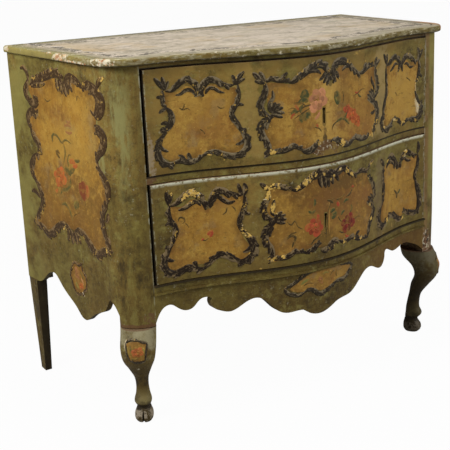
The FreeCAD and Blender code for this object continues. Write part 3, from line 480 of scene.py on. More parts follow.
# ---------------------------------------------------------------- flowers
# A row of a flower is its paint and then the same as a scroll's.
# A rose is its paint and then its centre and its radius.
UPPER_FLOWERS = (
    ("leaf", (6, 0.5, 3), -44, 768, -58, 772, -74, 764),
    ("leaf", 4.5, -60, 762, -66, 752, -66, 742),
    ("leaf", 4.5, -72, 744, -82, 748, -92, 742),
    ("leaf", (5, 0.5, 3), -54, 732, -62, 728, -66, 718),
    ("stem", (2, 0.4, 0), -40, 752, -60, 742, -84, 730),
    ("leaf", (8.8, 0.5, 3), -42, 780, -54, 784, -66, 778),
    ("leaf", 7.5, -46, 784, -54, 790, -62, 786),
    ("leaf", (7.5, 0.5, 3), -40, 742, -50, 734, -60, 724),
    ("leaf", 6.2, -56, 744, -64, 734, -68, 722),
    ("stem", (1.8, 0.3, 0), -30, 760, -56, 756, -78, 744, -94, 740),
    ("stem", (1.6, 0.3, 0), -50, 757, -66, 766, -84, 768),
    ("red", 3, -70, 750, -76, 756, -80, 764),
    ("red", 2.8, -80, 744, -88, 738, -92, 730),
    ("stem", (1.5, 0.3, 0), -76, 752, -88, 756, -98, 754),
    ("leaf", (11.2, 0.45, 0), 38, 784, 44, 768, 46, 748),
    ("leaf_light", (3.8, 0.45, 0), 35, 776, 40, 764, 42, 752),
    ("stem", 2, 62, 782, 66, 766, 62, 748),
    ("leaf", (3.8, 0.3, 0), 36, 706, 50, 713, 68, 711, 80, 701, 88, 694),
    ("stem", (2, 0.3, 0), 40, 708, 28, 700, 24, 688),
    ("leaf", 4, 66, 712, 74, 722, 78, 732),
    ("red", 2.5, 108, 772, 118, 768, 128, 772),
    ("stem", (1.5, 0.4, 0), 100, 762, 118, 766, 140, 774, 156, 772),
    ("leaf", 2.8, 122, 766, 130, 758, 138, 756),
    ("stem", (1.8, 0.4, 0), -30, 704, -16, 700, -8, 690),
    ("red", 3, -24, 712, -20, 706, -22, 700),
    ("pink", 4.2, -12, 740, -18, 730, -28, 722),
    ("stem", (1.5, 0.4, 0), -350, 780, -340, 774, -330, 776, -322, 770),
    ("stem", (1.8, 0.4, 0), -344, 772, -338, 780, -336, 788),
    ("stem", (1.5, 0.4, 0), -262, 776, -254, 770, -244, 772),
    ("stem", (1.5, 0.4, 0), -304, 726, -296, 720, -292, 712),
    ("stem", (1.8, 0.4, 0), 352, 774, 364, 768, 374, 760),
    ("stem", (1.5, 0.4, 0), 300, 742, 308, 736, 312, 728),
)
UPPER_ROSES = (
    ("pink", -18, 768, 27), ("orange", 98, 716, 19), ("red", 78, 734, 12), ("orange", 118, 700, 15),
)
LOWER_FLOWERS = (
    ("stem", (2.6, 0.4, 0), -20, 430, -34, 424, -46, 414, -60, 416),
    ("leaf", 4, 50, 470, 58, 478, 66, 480),
    ("leaf", 4, 60, 500, 70, 506, 82, 504),
    ("stem", (2.2, 0.4, 0), 44, 430, 56, 424, 66, 428),
    ("stem", (1.9, 0.4, 0), -110, 482, -98, 472, -90, 480, -80, 464, -66, 455),
    ("stem", (3.8, 0.4, 0), -112, 436, -98, 444, -88, 438, -94, 424, -98, 412),
    ("stem", (2.2, 0.4, 0), -84, 452, -98, 448, -112, 440),
    ("stem", (2.4, 0.4, 0), -42, 422, -24, 430, -8, 438, 4, 428),
    ("stem", (1.8, 0.3, 0), 0, 420, 2, 460, 8, 490, 20, 514, 34, 520),
    ("leaf", 4.3, -52, 500, -40, 494, -30, 500),
    ("leaf", 3.8, -36, 508, -32, 518, -34, 528),
    ("leaf", (7.2, 0.5, 3), 20, 466, 28, 476, 38, 482),
    ("leaf", 5.3, 14, 484, 22, 490, 32, 490),
    ("red", 5.3, 38, 508, 42, 500, 44, 494),
    ("stem", 3.6, 4, 518, 16, 514, 26, 506),
    ("stem", 2.9, 34, 514, 50, 514, 66, 522),
    ("stem", 3.1, 70, 514, 84, 518, 96, 530),
    ("red", 3.1, 92, 534, 98, 536, 102, 532),
    ("stem", (1.7, 0.3, 0), 40, 470, 50, 456, 62, 448),
    ("stem", (1.7, 0.3, 0), 100, 448, 118, 452, 132, 448),
    ("leaf", 4.1, 86, 470, 92, 480, 90, 490),
    ("red", 2.9, 66, 418, 72, 410, 82, 410),
    ("red", 4.8, -28, 472, -24, 480, -26, 488),
    ("stem", (2.6, 0.4, 0), -368, 512, -364, 522, -354, 520, -352, 510, -360, 506),
    ("stem", (1.4, 0.4, 0), -352, 508, -346, 502, -342, 494),
    ("red", 5.4, -300, 470, -292, 476, -284, 472),
    ("red", 4.8, -294, 464, -290, 472, -288, 482),
    ("stem", (1.7, 0.4, 0), -314, 462, -306, 458, -296, 464),
    ("red", 3.1, -314, 458, -310, 462, -308, 458),
    ("stem", (1.7, 0.4, 0), -262, 516, -254, 522, -250, 534),
    ("stem", (1.7, 0.4, 0), -240, 536, -234, 530, -230, 522),
    ("stem", (4.3, 0.6, 0), 298, 478, 306, 470, 312, 460, 310, 450),
    ("leaf", 3.6, 312, 464, 322, 468, 328, 474),
)
LOWER_ROSES = (("red", -34, 455, 24), ("crimson", 77, 444, 24))
SIDE_FLOWERS = (
    ("leaf", (3.8, 0.3, 0), 206, 676, 212, 698, 230, 698, 254, 684, 270, 692, 300, 687),
    ("leaf", (3.2, 0.4, 0), 206, 680, 204, 690, 212, 700),
    ("leaf", (2.9, 0.3, 0), 259, 685, 266, 664, 258, 640, 248, 622),
    ("stem", 5.2, 218, 660, 226, 650, 238, 642),
    ("stem", 4.9, 220, 646, 228, 658, 240, 654),
    ("leaf", (2.6, 0.3, 0), 276, 626, 276, 648, 284, 658, 294, 658),
    ("orange", 7.2, 282, 640, 296, 644, 312, 642),
    ("orange", 5.8, 296, 632, 310, 634, 322, 640),
    ("leaf", 4.6, 306, 648, 320, 648, 334, 652),
    ("leaf", (8, 0.5, 3), 256, 620, 272, 616, 286, 606),
    ("leaf", 7.2, 272, 610, 288, 618, 306, 628),
    ("leaf", 4.9, 284, 600, 278, 586, 262, 574),
    ("leaf", (5.2, 0.4, 0), 282, 582, 258, 566, 240, 562, 224, 548),
    ("stem", (2.3, 0.4, 0), 282, 602, 284, 590, 280, 576),
    ("leaf", 11.6, 290, 524, 300, 536, 314, 542),
    ("leaf_light", 4.3, 288, 530, 296, 540, 306, 544),
    ("leaf", (5.2, 0.35, 0), 226, 522, 244, 528, 262, 518, 270, 504, 276, 488),
    ("stem", (2, 0.4, 0), 276, 500, 296, 512, 314, 520),
    ("stem", (2, 0.4, 0), 344, 556, 348, 540, 346, 528),
    ("crimson", (17.4, 0.45, 0), 340, 604, 344, 580, 340, 552),
    ("crimson", (13, 0.45, 0), 328, 598, 330, 580, 336, 558),
    ("red", (11.6, 0.45, 0), 356, 598, 356, 580, 350, 560),
    ("orange", 4.3, 212, 560, 204, 552, 198, 556),
    ("rose_shade", 4.3, 270, 726, 290, 732, 306, 728),
    ("rose_shade", 3.8, 274, 714, 292, 712, 308, 716),
    ("rose_shade", 3.5, 284, 742, 296, 738, 304, 744),
    ("leaf_light", 4.3, 264, 328, 270, 318, 280, 312),
    ("leaf", 3.8, 290, 362, 300, 354, 304, 342),
    ("pink", 3.5, 292, 344, 300, 336, 302, 326),
    ("gesso", 3.8, 294, 308, 300, 302, 305, 298),
    ("stem", (2.3, 0.4, 0), 180, 786, 196, 778, 216, 784),
    ("stem", (2, 0.4, 0), 340, 794, 346, 806, 358, 800),
)
SIDE_ROSES = (("orange", 228, 592, 27), ("rose_shade", 276, 352, 15), ("orange", 290, 322, 10))
APRON_FLOWERS = (
    ("leaf_light", 4, -74, 310, -62, 318, -48, 322),
    ("stem", 2.4, -66, 306, -52, 312, -36, 308),
    ("stem", 2, 14, 316, 22, 324, 30, 330),
    ("leaf_light", 2.6, -10, 326, 0, 330, 12, 326),
    ("stem", 1.8, 40, 308, 36, 318, 40, 330),
)
APRON_ROSES = (("rose_shade", -14, 312, 9),)
KNEE_FLOWERS = (
    ("leaf", 2.6, -14, 206, -11, 218, -13, 230),
    ("leaf_light", 2.4, -18, 204, -17, 216, -19, 228),
    ("leaf", 2.4, -12, 198, -4, 196, 4, 200),
    ("leaf_light", 2.2, 12, 224, 16, 218, 17, 208),
    ("gesso", 2.8, -24, 212, -26, 226, -22, 238, -8, 243),
)
KNEE_ROSES = (("red", 2, 213, 12),)

# Places where a scroll has lost its paint: across, up and radius.
UPPER_LOSSES = (
    (-281, 655, 9), (30, 641, 14), (-140, 655, 8), (180, 690, 11), (182, 655, 13), (250, 668, 9),
    (300, 668, 8), (404, 745, 16), (400, 690, 9), (340, 660, 8), (-374, 688, 7), (60, 655, 8),
    (-12, 662, 8), (205, 680, 7),
)
LOWER_LOSSES = (
    (-330, 577, 15), (-345, 573, 10), (-208, 475, 14), (-378, 584, 5),
    (-206, 414, 4), (-145, 567, 15), (-152, 549, 12), (-141, 520, 11),
    (-80, 563, 6), (-55, 574, 12), (-40, 584, 5), (76, 583, 7), (92, 573, 6), (18, 568, 4),
    (184, 580, 9), (166, 540, 5), (60, 398, 5), (-120, 392, 5), (30, 396, 5), (102, 400, 5),
    (350, 573, 10), (262, 404, 6), (338, 388, 6), (262, 566, 5), (170, 470, 5), (176, 430, 5),
    (-4, 584, 4), (28, 577, 4), (50, 588, 4), (-28, 588, 4),
    (-152, 386, 6), (128, 389, 5),
)
SIDE_LOSSES = ((456, 858, 6), (92, 488, 8), (233, 461, 8), (340, 729, 6), (430, 452, 6))

# What decorates each face: its scrolls, the losses on them, its panels, flowers and roses.
UPPER_DESIGN = (
    UPPER_LEFT + UPPER_MIDDLE + UPPER_RIGHT, UPPER_LOSSES,
    (UPPER_LEFT_PANEL, UPPER_MIDDLE_PANEL, UPPER_RIGHT_PANEL), UPPER_FLOWERS, UPPER_ROSES,
)
LOWER_DESIGN = (
    LOWER_LEFT + LOWER_MIDDLE + LOWER_RIGHT, LOWER_LOSSES,
    (LOWER_LEFT_PANEL, LOWER_MIDDLE_PANEL, LOWER_RIGHT_PANEL), LOWER_FLOWERS, LOWER_ROSES,
)
SIDE_DESIGN = SIDE + SIDE_SHIELD, SIDE_LOSSES, (SIDE_PANEL, SIDE_SHIELD_PANEL), SIDE_FLOWERS, SIDE_ROSES
APRON_DESIGN = APRON, (), (APRON_PANEL,), APRON_FLOWERS, APRON_ROSES
KNEE_DESIGN = KNEE_SHIELD, (), (KNEE_PANEL,), KNEE_FLOWERS, KNEE_ROSES

# A stroke of the top's border is like a scroll's, but its points run along in shares of a pitch.
EDGE_STROKES = (
    ((11, 0.5, 5), 0, 0, 0.22, 15, 0.5, 19, 0.78, 9, 0.96, -5),
    (4.5, 0.2, 2, 0.45, 8, 0.7, 0),
    (4.5, 0.9, -2, 0.98, 14, 1.02, 30),
)
BACK_STROKES = (
    ((7, 0.5, 5), 0, 246, 0.3, 230, 0.6, 228, 0.95, 246),
    (4, 0.25, 250, 0.5, 240, 0.8, 244),
)

# ---------------------------------------------------------------- stains
# A stain is its paint, its centre and its reach along x, y and z, and its strength.
UPPER_STAINS = (
    ("loss", (14, 0, 790), (42, 0, 34), 0.45),
    ("loss", (8, 0, 700), (36, 0, 85), 0.42),
    ("ochre_brown", (62, 0, 760), (30, 0, 70), 0.35),
    ("russet", (140, 0, 700), (60, 0, 60), 0.35),
    ("scroll", (2, 0, 672), (6, 0, 44), 0.8),
    ("scroll", (3, 0, 745), (2, 0, 28), 0.8),
    ("grime_and_shade", (0, 0, 650), (45, 0, 16), 0.6),
    ("rust", (20, 0, 650), (90, 0, 16), 0.4),
    ("gesso", (404, 0, 722), (13, 0, 50), 1),
    ("ochre_light", (330, 0, 720), (80, 0, 80), 0.6),
    ("russet", (-300, 0, 730), (60, 0, 30), 0.35),
)
LOWER_STAINS = (
    ("ochre_brown", (20, 0, 545), (110, 0, 55), 0.7),
    ("ochre_brown", (0, 0, 470), (190, 0, 110), 0.45),
    ("olive_brown", (0, 0, 415), (26, 0, 30), 0.6),
    ("olive_brown", (30, 0, 520), (40, 0, 50), 0.4),
    ("russet", (60, 0, 500), (110, 0, 60), 0.5),
    ("olive_brown", (100, 0, 560), (70, 0, 30), 0.5),
    ("russet", (-270, 0, 545), (40, 0, 20), 0.35),
    ("ochre_light", (320, 0, 480), (80, 0, 80), 0.2),
    ("loss", (11, 0, 478), (2, 0, 40), 0.35),
)
SIDE_STAINS = (
    ("ochre_brown", (0, 0, 430), (0, 0, 170), 0.5),
    ("ochre_brown", (0, -60, 560), (0, 60, 120), 0.35),
    ("ochre_brown", (0, 180, 760), (0, 90, 40), 0.35),
    ("ochre_light", (0, 40, 690), (0, 110, 60), 0.3),
)
KNEE_STAINS = (
    ("olive_brown", (-498, -183, 203), (12, 12, 14), 0.8),
    ("ochre_light", (-486, -192, 226), (10, 10, 8), 0.6),
    ("olive_brown", (498, -183, 203), (12, 12, 14), 0.8),
)

# Places on the top, each its centre and its reach: rubbed ones, chips of its edge, and a split.
TOP_WORN = (
    ((-120, 292, 0), (170, 16, 0)), ((150, 285, 0), (120, 22, 0)), ((500, -40, 0), (60, 60, 0)),
    ((-370, 250, 0), (60, 50, 0)), ((-380, -90, 0), (60, 40, 0)),
)
TOP_CHIPS = (
    ((-561, 10, 891), (0, 32, 11)), ((-561, -50, 884), (0, 60, 5)), ((-515, -160, 893), (24, 30, 13)),
    ((-561, 290, 895), (20, 14, 6)), ((-552, 70, 900), (14, 20, 5)),
)
TOP_SPLIT = (524, -140, 893), (56, 84, 16)


# ---------------------------------------------------------------- settings
def paint(name, description, value):
    return bpy.props.FloatVectorProperty(
        name=name, description=description, default=value, size=3, subtype="COLOR", min=0, max=1
    )


def length(name, description, value):
    return bpy.props.FloatProperty(
        name=name, description=description, default=value, min=0, precision=5, unit="LENGTH"
    )


def watts(name, description, value):
    return bpy.props.FloatProperty(
        name=name, description=description, default=value, min=0, unit="POWER"
    )


class ChestPaints(bpy.types.PropertyGroup):
    """Colours of the chest's paints and woods."""

    olive: paint("Olive", "Ground colour of the case and the drawers", (0.175, 0.133, 0.029))
    olive_light: paint("Light olive", "Rubbed, greener olive", (0.240, 0.205, 0.055))
    honey: paint("Honey", "Yellowed varnish over the olive", (0.245, 0.150, 0.034))
    # Brown olive also serves as painted shade: beside the drawers on the left post and down the front
    # legs' shins.
    olive_brown: paint("Brown olive", "Olive under old varnish and dirt", (0.095, 0.060, 0.013))
    # Grime is also laid as painted shade: in the gaps, on faces turned down, on the drawers' ends,
    # under the top, in its groove, in the hooves' cleft and over the right leg.
    grime_and_shade: paint("Grime", "Dirt in corners and cracks", (0.020, 0.014, 0.007))
    worn_edge: paint("Worn edge", "Pale ground showing along rubbed edges", (0.450, 0.440, 0.310))
    # Painted highlight: the pale green along the lower drawer's upper edge stands in for light catching
    # that edge.
    arris_highlight: paint("Worn arris", "Pale green along the lower drawer's top", (0.580, 0.580, 0.440))
    worn_pink: paint("Worn pink", "Pinkish ground showing at a worn corner", (0.300, 0.235, 0.150))
    rubbed_left: paint("Rubbed left", "Golden olive left of the middle panel", (0.310, 0.200, 0.055))
    rubbed_right: paint("Rubbed right", "Golden olive right of the middle panel", (0.340, 0.250, 0.105))
    dull: paint("Dull", "Smoky strip on the lower drawer", (0.150, 0.105, 0.060))
    flaked: paint("Flaked", "Red-brown ground under the upper keyhole", (0.085, 0.034, 0.018))
    streaked: paint("Streaked", "Light brush streaks of the left post", (0.250, 0.235, 0.085))
    red_brown: paint("Red-brown", "Stained strip of the right post", (0.215, 0.115, 0.050))
    side_yellow: paint("Side yellow", "Yellower green of the top's side edges", (0.330, 0.270, 0.085))
    ochre: paint("Ochre", "Ground of the painted panels", (0.310, 0.165, 0.030))
    glaze: paint("Glaze", "Warm yellow glaze over the ochre", (0.400, 0.200, 0.022))
    ochre_light: paint("Light ochre", "Yellow patches of the panels", (0.420, 0.255, 0.050))
    russet: paint("Russet", "Reddish patches of the panels", (0.225, 0.098, 0.024))
    ochre_brown: paint("Brown ochre", "Darkened patches of the panels", (0.140, 0.065, 0.013))
    scroll: paint("Scroll", "Dark brown of the scrolls", (0.026, 0.018, 0.009))
    scroll_light: paint("Scroll light", "Pale highlights on the scrolls", (0.215, 0.165, 0.090))
    lower_scroll: paint("Lower scroll", "Near black of the lower scrolls", (0.016, 0.009, 0.004))
    lower_light: paint("Lower light", "Highlights of the lower scrolls", (0.220, 0.155, 0.075))
    side_scroll: paint("Side scroll", "Brown of the sides' scrolls", (0.050, 0.027, 0.010))
    side_light: paint("Side light", "Highlights of the sides' scrolls", (0.230, 0.145, 0.060))
    loss: paint("Loss", "Yellowed ground where a scroll has flaked", (0.580, 0.370, 0.085))
    gesso: paint("Gesso", "Bare white ground", (0.620, 0.560, 0.400))
    top_cream: paint("Top cream", "Middle of the top", (0.635, 0.540, 0.430))
    top_grey: paint("Top grey", "Worn border of the top", (0.340, 0.290, 0.200))
    top_scroll: paint("Top scroll", "Faded scrolls of the top", (0.150, 0.130, 0.100))
    leg_pale: paint("Leg pale", "Rubbed grey-green at the top of a leg", (0.290, 0.255, 0.145))
    hoof: paint("Hoof", "Pale patches on the hooves", (0.290, 0.240, 0.170))
    pine: paint("Pine", "Unpainted aged wood", (0.330, 0.205, 0.105))
    pine_dark: paint("Dark pine", "Grain of the unpainted wood", (0.185, 0.100, 0.045))
    fresh_wood: paint("Fresh wood", "Wood showing in chipped edges", (0.620, 0.400, 0.210))
    chip_red: paint("Chip red", "Reddish wood in the top's chips", (0.36, 0.13, 0.04))
    split_red: paint("Split red", "Reddish wood in the top's split corner", (0.34, 0.14, 0.035))
    iron: paint("Iron", "Locks, bolts, screws and nails", (0.075, 0.062, 0.055))
    rust: paint("Rust", "Rust on the iron", (0.130, 0.060, 0.030))
    pink: paint("Pink", "Light rose petals", (0.470, 0.200, 0.095))
    orange: paint("Orange", "Orange-red petals", (0.400, 0.085, 0.022))
    red: paint("Red", "Red petals and buds", (0.330, 0.058, 0.022))
    crimson: paint("Crimson", "Dark red petals", (0.150, 0.018, 0.012))
    rose_shade: paint("Rose shade", "Faded red-brown petals", (0.270, 0.110, 0.045))
    leaf: paint("Leaf", "Dark green leaves", (0.055, 0.062, 0.020))
    leaf_light: paint("Light leaf", "Light green leaves", (0.160, 0.170, 0.040))
    stem: paint("Stem", "Brown stems", (0.060, 0.038, 0.012))


class ChestOrnament(bpy.types.PropertyGroup):
    """Heights of the raised and painted ornament."""

    relief: length("Scroll relief", "Height of the scrolls above the paint", 0.0018)
    panel_lift: length("Panel lift", "Thickness of the panels' ground", 0.0005)
    flower_lift: length("Flower lift", "Height of a petal's middle above the panel", 0.0005)
    top_relief: length("Top relief", "Height of the scrolls on the top", 0.0004)
    petals: bpy.props.IntProperty(
        name="Petals", description="Outer petals of a rose", default=6, min=3, max=12
    )


class ChestTop(bpy.types.PropertyGroup):
    """Edge and border of the top board."""

    upper_round: length("Upper round", "Radius of the nose's upper edge", 0.007)
    lower_round: length("Lower round", "Radius of the nose's lower edge", 0.004)
    groove_inset: length("Groove inset", "Distance of the groove from the edge", 0.024)
    groove_width: length("Groove width", "Width of the groove", 0.003)
    groove_depth: length("Groove depth", "Depth of the groove", 0.0012)
    field_drop: length("Field drop", "How far the middle lies below the rim", 0.0006)
    scroll_inset: length("Scroll inset", "Distance of the scrolls from the front edge", 0.052)
    scroll_pitch: length("Scroll pitch", "Length of one scroll of the border", 0.098)


class ChestLegs(bpy.types.PropertyGroup):
    """Carving of the front legs."""

    cleft_depth: length("Cleft depth", "Depth of the cleft in a hoof", 0.0065)
    cleft_width: length("Cleft width", "Half width of the cleft", 0.0022)
    cleft_height: length("Cleft height", "Height that the cleft reaches", 0.036)
    band_depth: length("Band depth", "Depth of the ring cut above the hoof", 0.0012)


class ChestStage(bpy.types.PropertyGroup):
    """Camera, floor and lamps."""

    lens: bpy.props.FloatProperty(
        name="Lens", description="Focal length on a 36 mm sensor", default=74.98, min=1, unit="CAMERA"
    )
    eye: bpy.props.FloatVectorProperty(
        name="Camera place", description="Where the camera stands", default=(-1.4118, -2.0343, 1.1477),
        size=3, subtype="TRANSLATION",
    )
    turns: bpy.props.FloatVectorProperty(
        name="Camera turns", description="Yaw, downward pitch and roll",
        default=[math.radians(turn) for turn in (32.729, 17.107, -1.960)], size=3, subtype="EULER",
    )
    key: watts("Key lamp", "Soft lamp high on the left", 60)
    fill: watts("Fill lamp", "Soft lamp before the front", 74)
    overhead: watts("Overhead lamp", "Soft lamp over the top", 20)
    sky: bpy.props.FloatProperty(
        name="Sky", description="Strength of the even light", default=0.24, min=0
    )
    floor: paint("Floor", "Colour of the floor", (0.50, 0.49, 0.47))


# ---------------------------------------------------------------- shaders
class Shade:
    """A node's output that Python expressions work on: an expression on values adds Math nodes."""

    def __init__(self, tree, socket):
        self.tree = tree
        self.socket = socket

    def node(self, kind, settings=None, sockets=None, output=0):
        """Any node: its settings are set first, then the values or links of its sockets."""
        made = self.tree.nodes.new(kind)
        for key, value in (settings or {}).items():
            setattr(made, key, value)
        for key, value in (sockets or {}).items():
            if isinstance(value, Shade):
                self.tree.links.new(value.socket, made.inputs[key])
            else:
                made.inputs[key].default_value = value
        return Shade(self.tree, made.outputs[output])

    def math(self, operation, *values):
        return self.node("ShaderNodeMath", {"operation": operation}, dict(enumerate(values)))

    def __add__(self, other):
        return self.math("ADD", self, other)

    __radd__ = __add__

    def __sub__(self, other):
        return self.math("SUBTRACT", self, other)

    def __rsub__(self, other):
        return self.math("SUBTRACT", other, self)

    def __mul__(self, other):
        return self.math("MULTIPLY", self, other)

    __rmul__ = __mul__

    def __truediv__(self, other):
        return self.math("DIVIDE", self, other)

    def __abs__(self):
        return self.math("ABSOLUTE", self)

    def least(self, other):
        return self.math("MINIMUM", self, other)

    def most(self, other):
        return self.math("MAXIMUM", self, other)

    def step(self, low, high):
        """Smooth step from 0 at low to 1 at high; high may be the smaller."""
        ends = {"Value": self, "From Min": low, "From Max": high}
        return self.node("ShaderNodeMapRange", {"interpolation_type": "SMOOTHSTEP"}, ends)

    def mix(self, none, full):
        """Colour between none and full, with this value as the share of full."""
        ends = [c if isinstance(c, Shade) else (*c, 1) for c in (none, full)]
        return self.node("ShaderNodeMix", {"data_type": "RGBA"}, {0: self, 6: ends[0], 7: ends[1]}, 2)

    def parts(self):
        """The x, y and z of this vector."""
        return [self.node("ShaderNodeSeparateXYZ", None, {0: self}, axis) for axis in range(3)]

    def stretched(self, x, y, z):
        return self.node("ShaderNodeVectorMath", {"operation": "MULTIPLY"}, {0: self, 1: (x, y, z)})

    def noise(self, scale, detail=4, roughness=0.55, distortion=0):
        """Noise over this vector, spread to about 0 to 1."""
        sockets = {"Scale": scale, "Detail": detail, "Roughness": roughness, "Distortion": distortion}
        return self.node("ShaderNodeTexNoise", None, {"Vector": self, **sockets}).step(0.28, 0.72)

    def brushed(self, stretch, detail=5, roughness=0.65, distortion=0):
        """Noise drawn out into brush marks or grain: the least number of stretch lies along them."""
        return self.stretched(*stretch).noise(1, detail, roughness, distortion)

    def cracks(self, scale):
        """1 along the edges of cells over this vector, 0 away from them."""
        sockets = {"Vector": self, "Scale": scale}
        return self.node("ShaderNodeTexVoronoi", {"feature": "DISTANCE_TO_EDGE"}, sockets).step(0.05, 0)

    def attribute(self, name, output="Fac"):
        return self.node("ShaderNodeAttribute", {"attribute_name": name}, None, output)


def coats(colour, *layers):
    """Lays coats over a colour, one after another: each is how much of it shows, and its own colour."""
    for cover, tint in layers:
        colour = cover.mix(colour, tint)
    return colour


def new_finish(name):
    """A material, its Principled shader, the Object coordinates and the surface's own direction."""
    material = bpy.data.materials.new(name)
    material.use_nodes = True
    tree = material.node_tree
    shader = tree.nodes["Principled BSDF"]
    shader.inputs["Specular IOR Level"].default_value = WAXED_GLOSS
    coordinates = tree.nodes.new("ShaderNodeTexCoord").outputs
    return material, shader, Shade(tree, coordinates["Object"]), Shade(tree, coordinates["Normal"])


def finish(shader, colour, roughness, height, distance, metallic=None):
    """Links what changes over the surface to the shader; distance is the bump's depth in metres."""
    sockets = {"Strength": 0.6, "Distance": distance, "Height": height}
    bump = height.node("ShaderNodeBump", None, sockets, "Normal")
    links = {"Base Color": colour, "Roughness": roughness, "Normal": bump, "Metallic": metallic}
    for name, value in links.items():
        if value:
            value.tree.links.new(value.socket, shader.inputs[name])


def blot(place, centre, reach, ragged=0.5, scale=60):
    """A ragged patch: 1 near the centre and 0 past the reach, both (x, y, z) in millimetres.

    A reach of 0 leaves that direction out.
    """
    total = None
    for part, middle, size in zip(place.parts(), centre, reach):
        if size:
            away = (part - middle * MM) / (size * MM)
            total = away * away if total is None else total + away * away
    return (total + (place.noise(scale, 5, 0.7) - 0.5) * ragged * 2).step(1.35, 0.4)


def old_paint(place, paints, grain, browner=0):
    """Colour, roughness and height of old brushed olive paint; grain stretches the brush marks."""
    low = place.parts()[2].step(0.85, 0.22)
    cloud = place.noise(5.5, 5, 0.6)
    patches = place.noise(19, 6, 0.68)
    brush = place.brushed(grain)
    speck = place.noise(230, 3, 0.7)
    worn = place.noise(31, 6, 0.75)
    mottle = place.noise(72, 5, 0.75)
    cracked = place.cracks(48) * place.noise(9).step(0.35, 0.8)
    colour = coats(
        paints.olive,
        (place.noise(3.3, 4).step(0.4, 0.85) * 0.75, paints.honey),
        (cloud * 0.55 + patches * 0.4 + low * 0.4 + (browner - 0.25), paints.olive_brown),
        (brush.step(0.5, 1) * (1 - cloud * 0.6) * (1 - low * 0.7) * 0.8, paints.olive_light),
        (brush.step(0.42, 0) * patches * 0.7, paints.olive_brown),
        (speck.step(0.25, 0) * 0.45, paints.grime_and_shade),
        (place.noise(11, 6, 0.75).step(0.68, 0.95) * 0.5, paints.grime_and_shade),
        (worn.step(0.60, 0.95) * 0.55, paints.olive_light),
        (worn.step(0.40, 0.05) * 0.45, paints.grime_and_shade),
        (mottle.step(0.55, 0.9) * 0.25, paints.grime_and_shade),
        (mottle.step(0.45, 0.1) * 0.2, paints.olive_light),
        (place.noise(105, 5, 0.75).step(0.80, 0.95) * patches * 0.45, paints.worn_edge),
        (cracked * 0.15, paints.grime_and_shade),
    )
    return colour, patches * 0.22 + 0.46, brush * 0.35 + speck * 0.25 - cracked * 0.4


def bare_pine(place, paints, grain):
    """Colour of unpainted pine with its grain stretched along the board, and its fine grain."""
    fine = place.brushed([g * 3.2 for g in grain], 3, 0.55)
    colour = coats(
        paints.pine,
        (place.brushed(grain, 6, 0.62, 0.8).step(0.35, 0.95) * 0.8, paints.pine_dark),
        (fine.step(0.55, 1) * 0.35, paints.pine_dark),
        (place.noise(7, 4) * 0.35, paints.grime_and_shade),
    )
    return colour, fine


def wood_finish(paints, name, grain):
    material, shader, place, _ = new_finish(name)
    colour, fine = bare_pine(place, paints, grain)
    finish(shader, colour, fine * 0.12 + 0.62, fine, 0.0006)
    return material


def back_finish(paints, name, low, high, tone):
    """Rough pine of a back board, dirty along its edges; low and high are its heights in metres."""
    material, shader, place, _ = new_finish(name + "_pine")
    colour, fine = bare_pine(place, paints, ALONG_X)
    z = place.parts()[2]
    edge = (z - low).least(high - z).step(0.014, 0.001) * place.noise(30, 4, 0.6).step(0, 0.7)
    bleached = place.brushed((2.5, 14, 14)).step(0.5, 0.9)
    colour = coats(colour, (edge * 0.9 + tone, paints.grime_and_shade), (bleached * 0.35, paints.pine))
    finish(shader, colour, fine * 0.12 + 0.62, fine - edge, 0.0006)
    return material


def iron_finish(paints):
    material, shader, place, _ = new_finish("forged_iron")
    rusty = place.noise(90, 5, 0.7)
    colour = rusty.step(0.35, 0.8).mix(paints.iron, paints.rust)
    finish(shader, colour, rusty * 0.3 + 0.45, rusty, 0.0005, 0.85 - rusty * 0.7)
    return material


def drawer_finish(paints, name, low, high, pale):
    """Olive front, with a pale painted highlight along its upper edge by the share pale; its back is
    bare and its two ends get painted shade.
    """
    material, shader, place, facing = new_finish(name)
    colour, rough, height = old_paint(place, paints, BRUSH_X, 0.05)
    bare, fine = bare_pine(place, paints, ALONG_X)
    x, _, z = place.parts()
    nx, ny, nz = facing.parts()
    from_top = high * MM - z
    from_end = DRAWER_HALF * MM - abs(x)
    from_edge = from_end.least(z - low * MM).least(from_top)
    ragged = place.noise(85, 4, 0.7)
    flaked = blot(place, (0, 0, low + 22), (60, 0, 18), 1.2) * (2 * (1 - pale))
    spots = place.noise(46, 4, 0.7).step(0.92, 1) * place.noise(6).step(0.5, 0.9)
    rubbed = 2.2 * pale - 1.2
    behind = ny.step(-0.2, 0.3).most(nz.step(0.6, 0.9))
    colour = coats(
        colour,
        (place.noise(6.5, 5, 0.65).step(0.3, 0.8) * (1.3 - pale), paints.honey),
        (blot(place, (-195, 0, low + 110), (48, 0, 150), 1.2, 30) * (1.1 - pale), paints.rubbed_left),
        (blot(place, (232, 0, low + 110), (48, 0, 150), 1.2, 30) * (1.1 - pale), paints.rubbed_right),
        (from_edge.step(0.030, 0.004) * place.noise(14) * 0.6, paints.olive_brown),
        (from_end.step(0.005, 0.0005) * ragged.step(0.35, 0.85) * 0.56, paints.worn_edge),
        # Painted highlight along the upper edge, on the lower drawer only.
        (from_top.step(0.010, 0.001) * ragged.step(0, 0.5) * rubbed, paints.arris_highlight),
        (blot(place, (-424, 0, low + 30), (9, 0, 60), 1.2, 110) * (1.6 * (1 - pale)), paints.worn_pink),
        (blot(place, (226, 0, low + 120), (26, 0, 110), 1, 30) * (0.45 * rubbed), paints.dull),
        (flaked * 0.8, paints.flaked),
        (flaked * place.noise(125, 4, 0.75).step(0.66, 0.78) * 0.8, paints.gesso),
        (spots * 0.8, paints.loss),
        (behind, bare),
        # Painted shade on the drawer's two ends, seen in the gaps beside it.
        (abs(nx).step(0.6, 0.9), paints.grime_and_shade),
    )
    finish(shader, colour, rough + behind * 0.2, height + behind * fine, 0.0007)
    return material


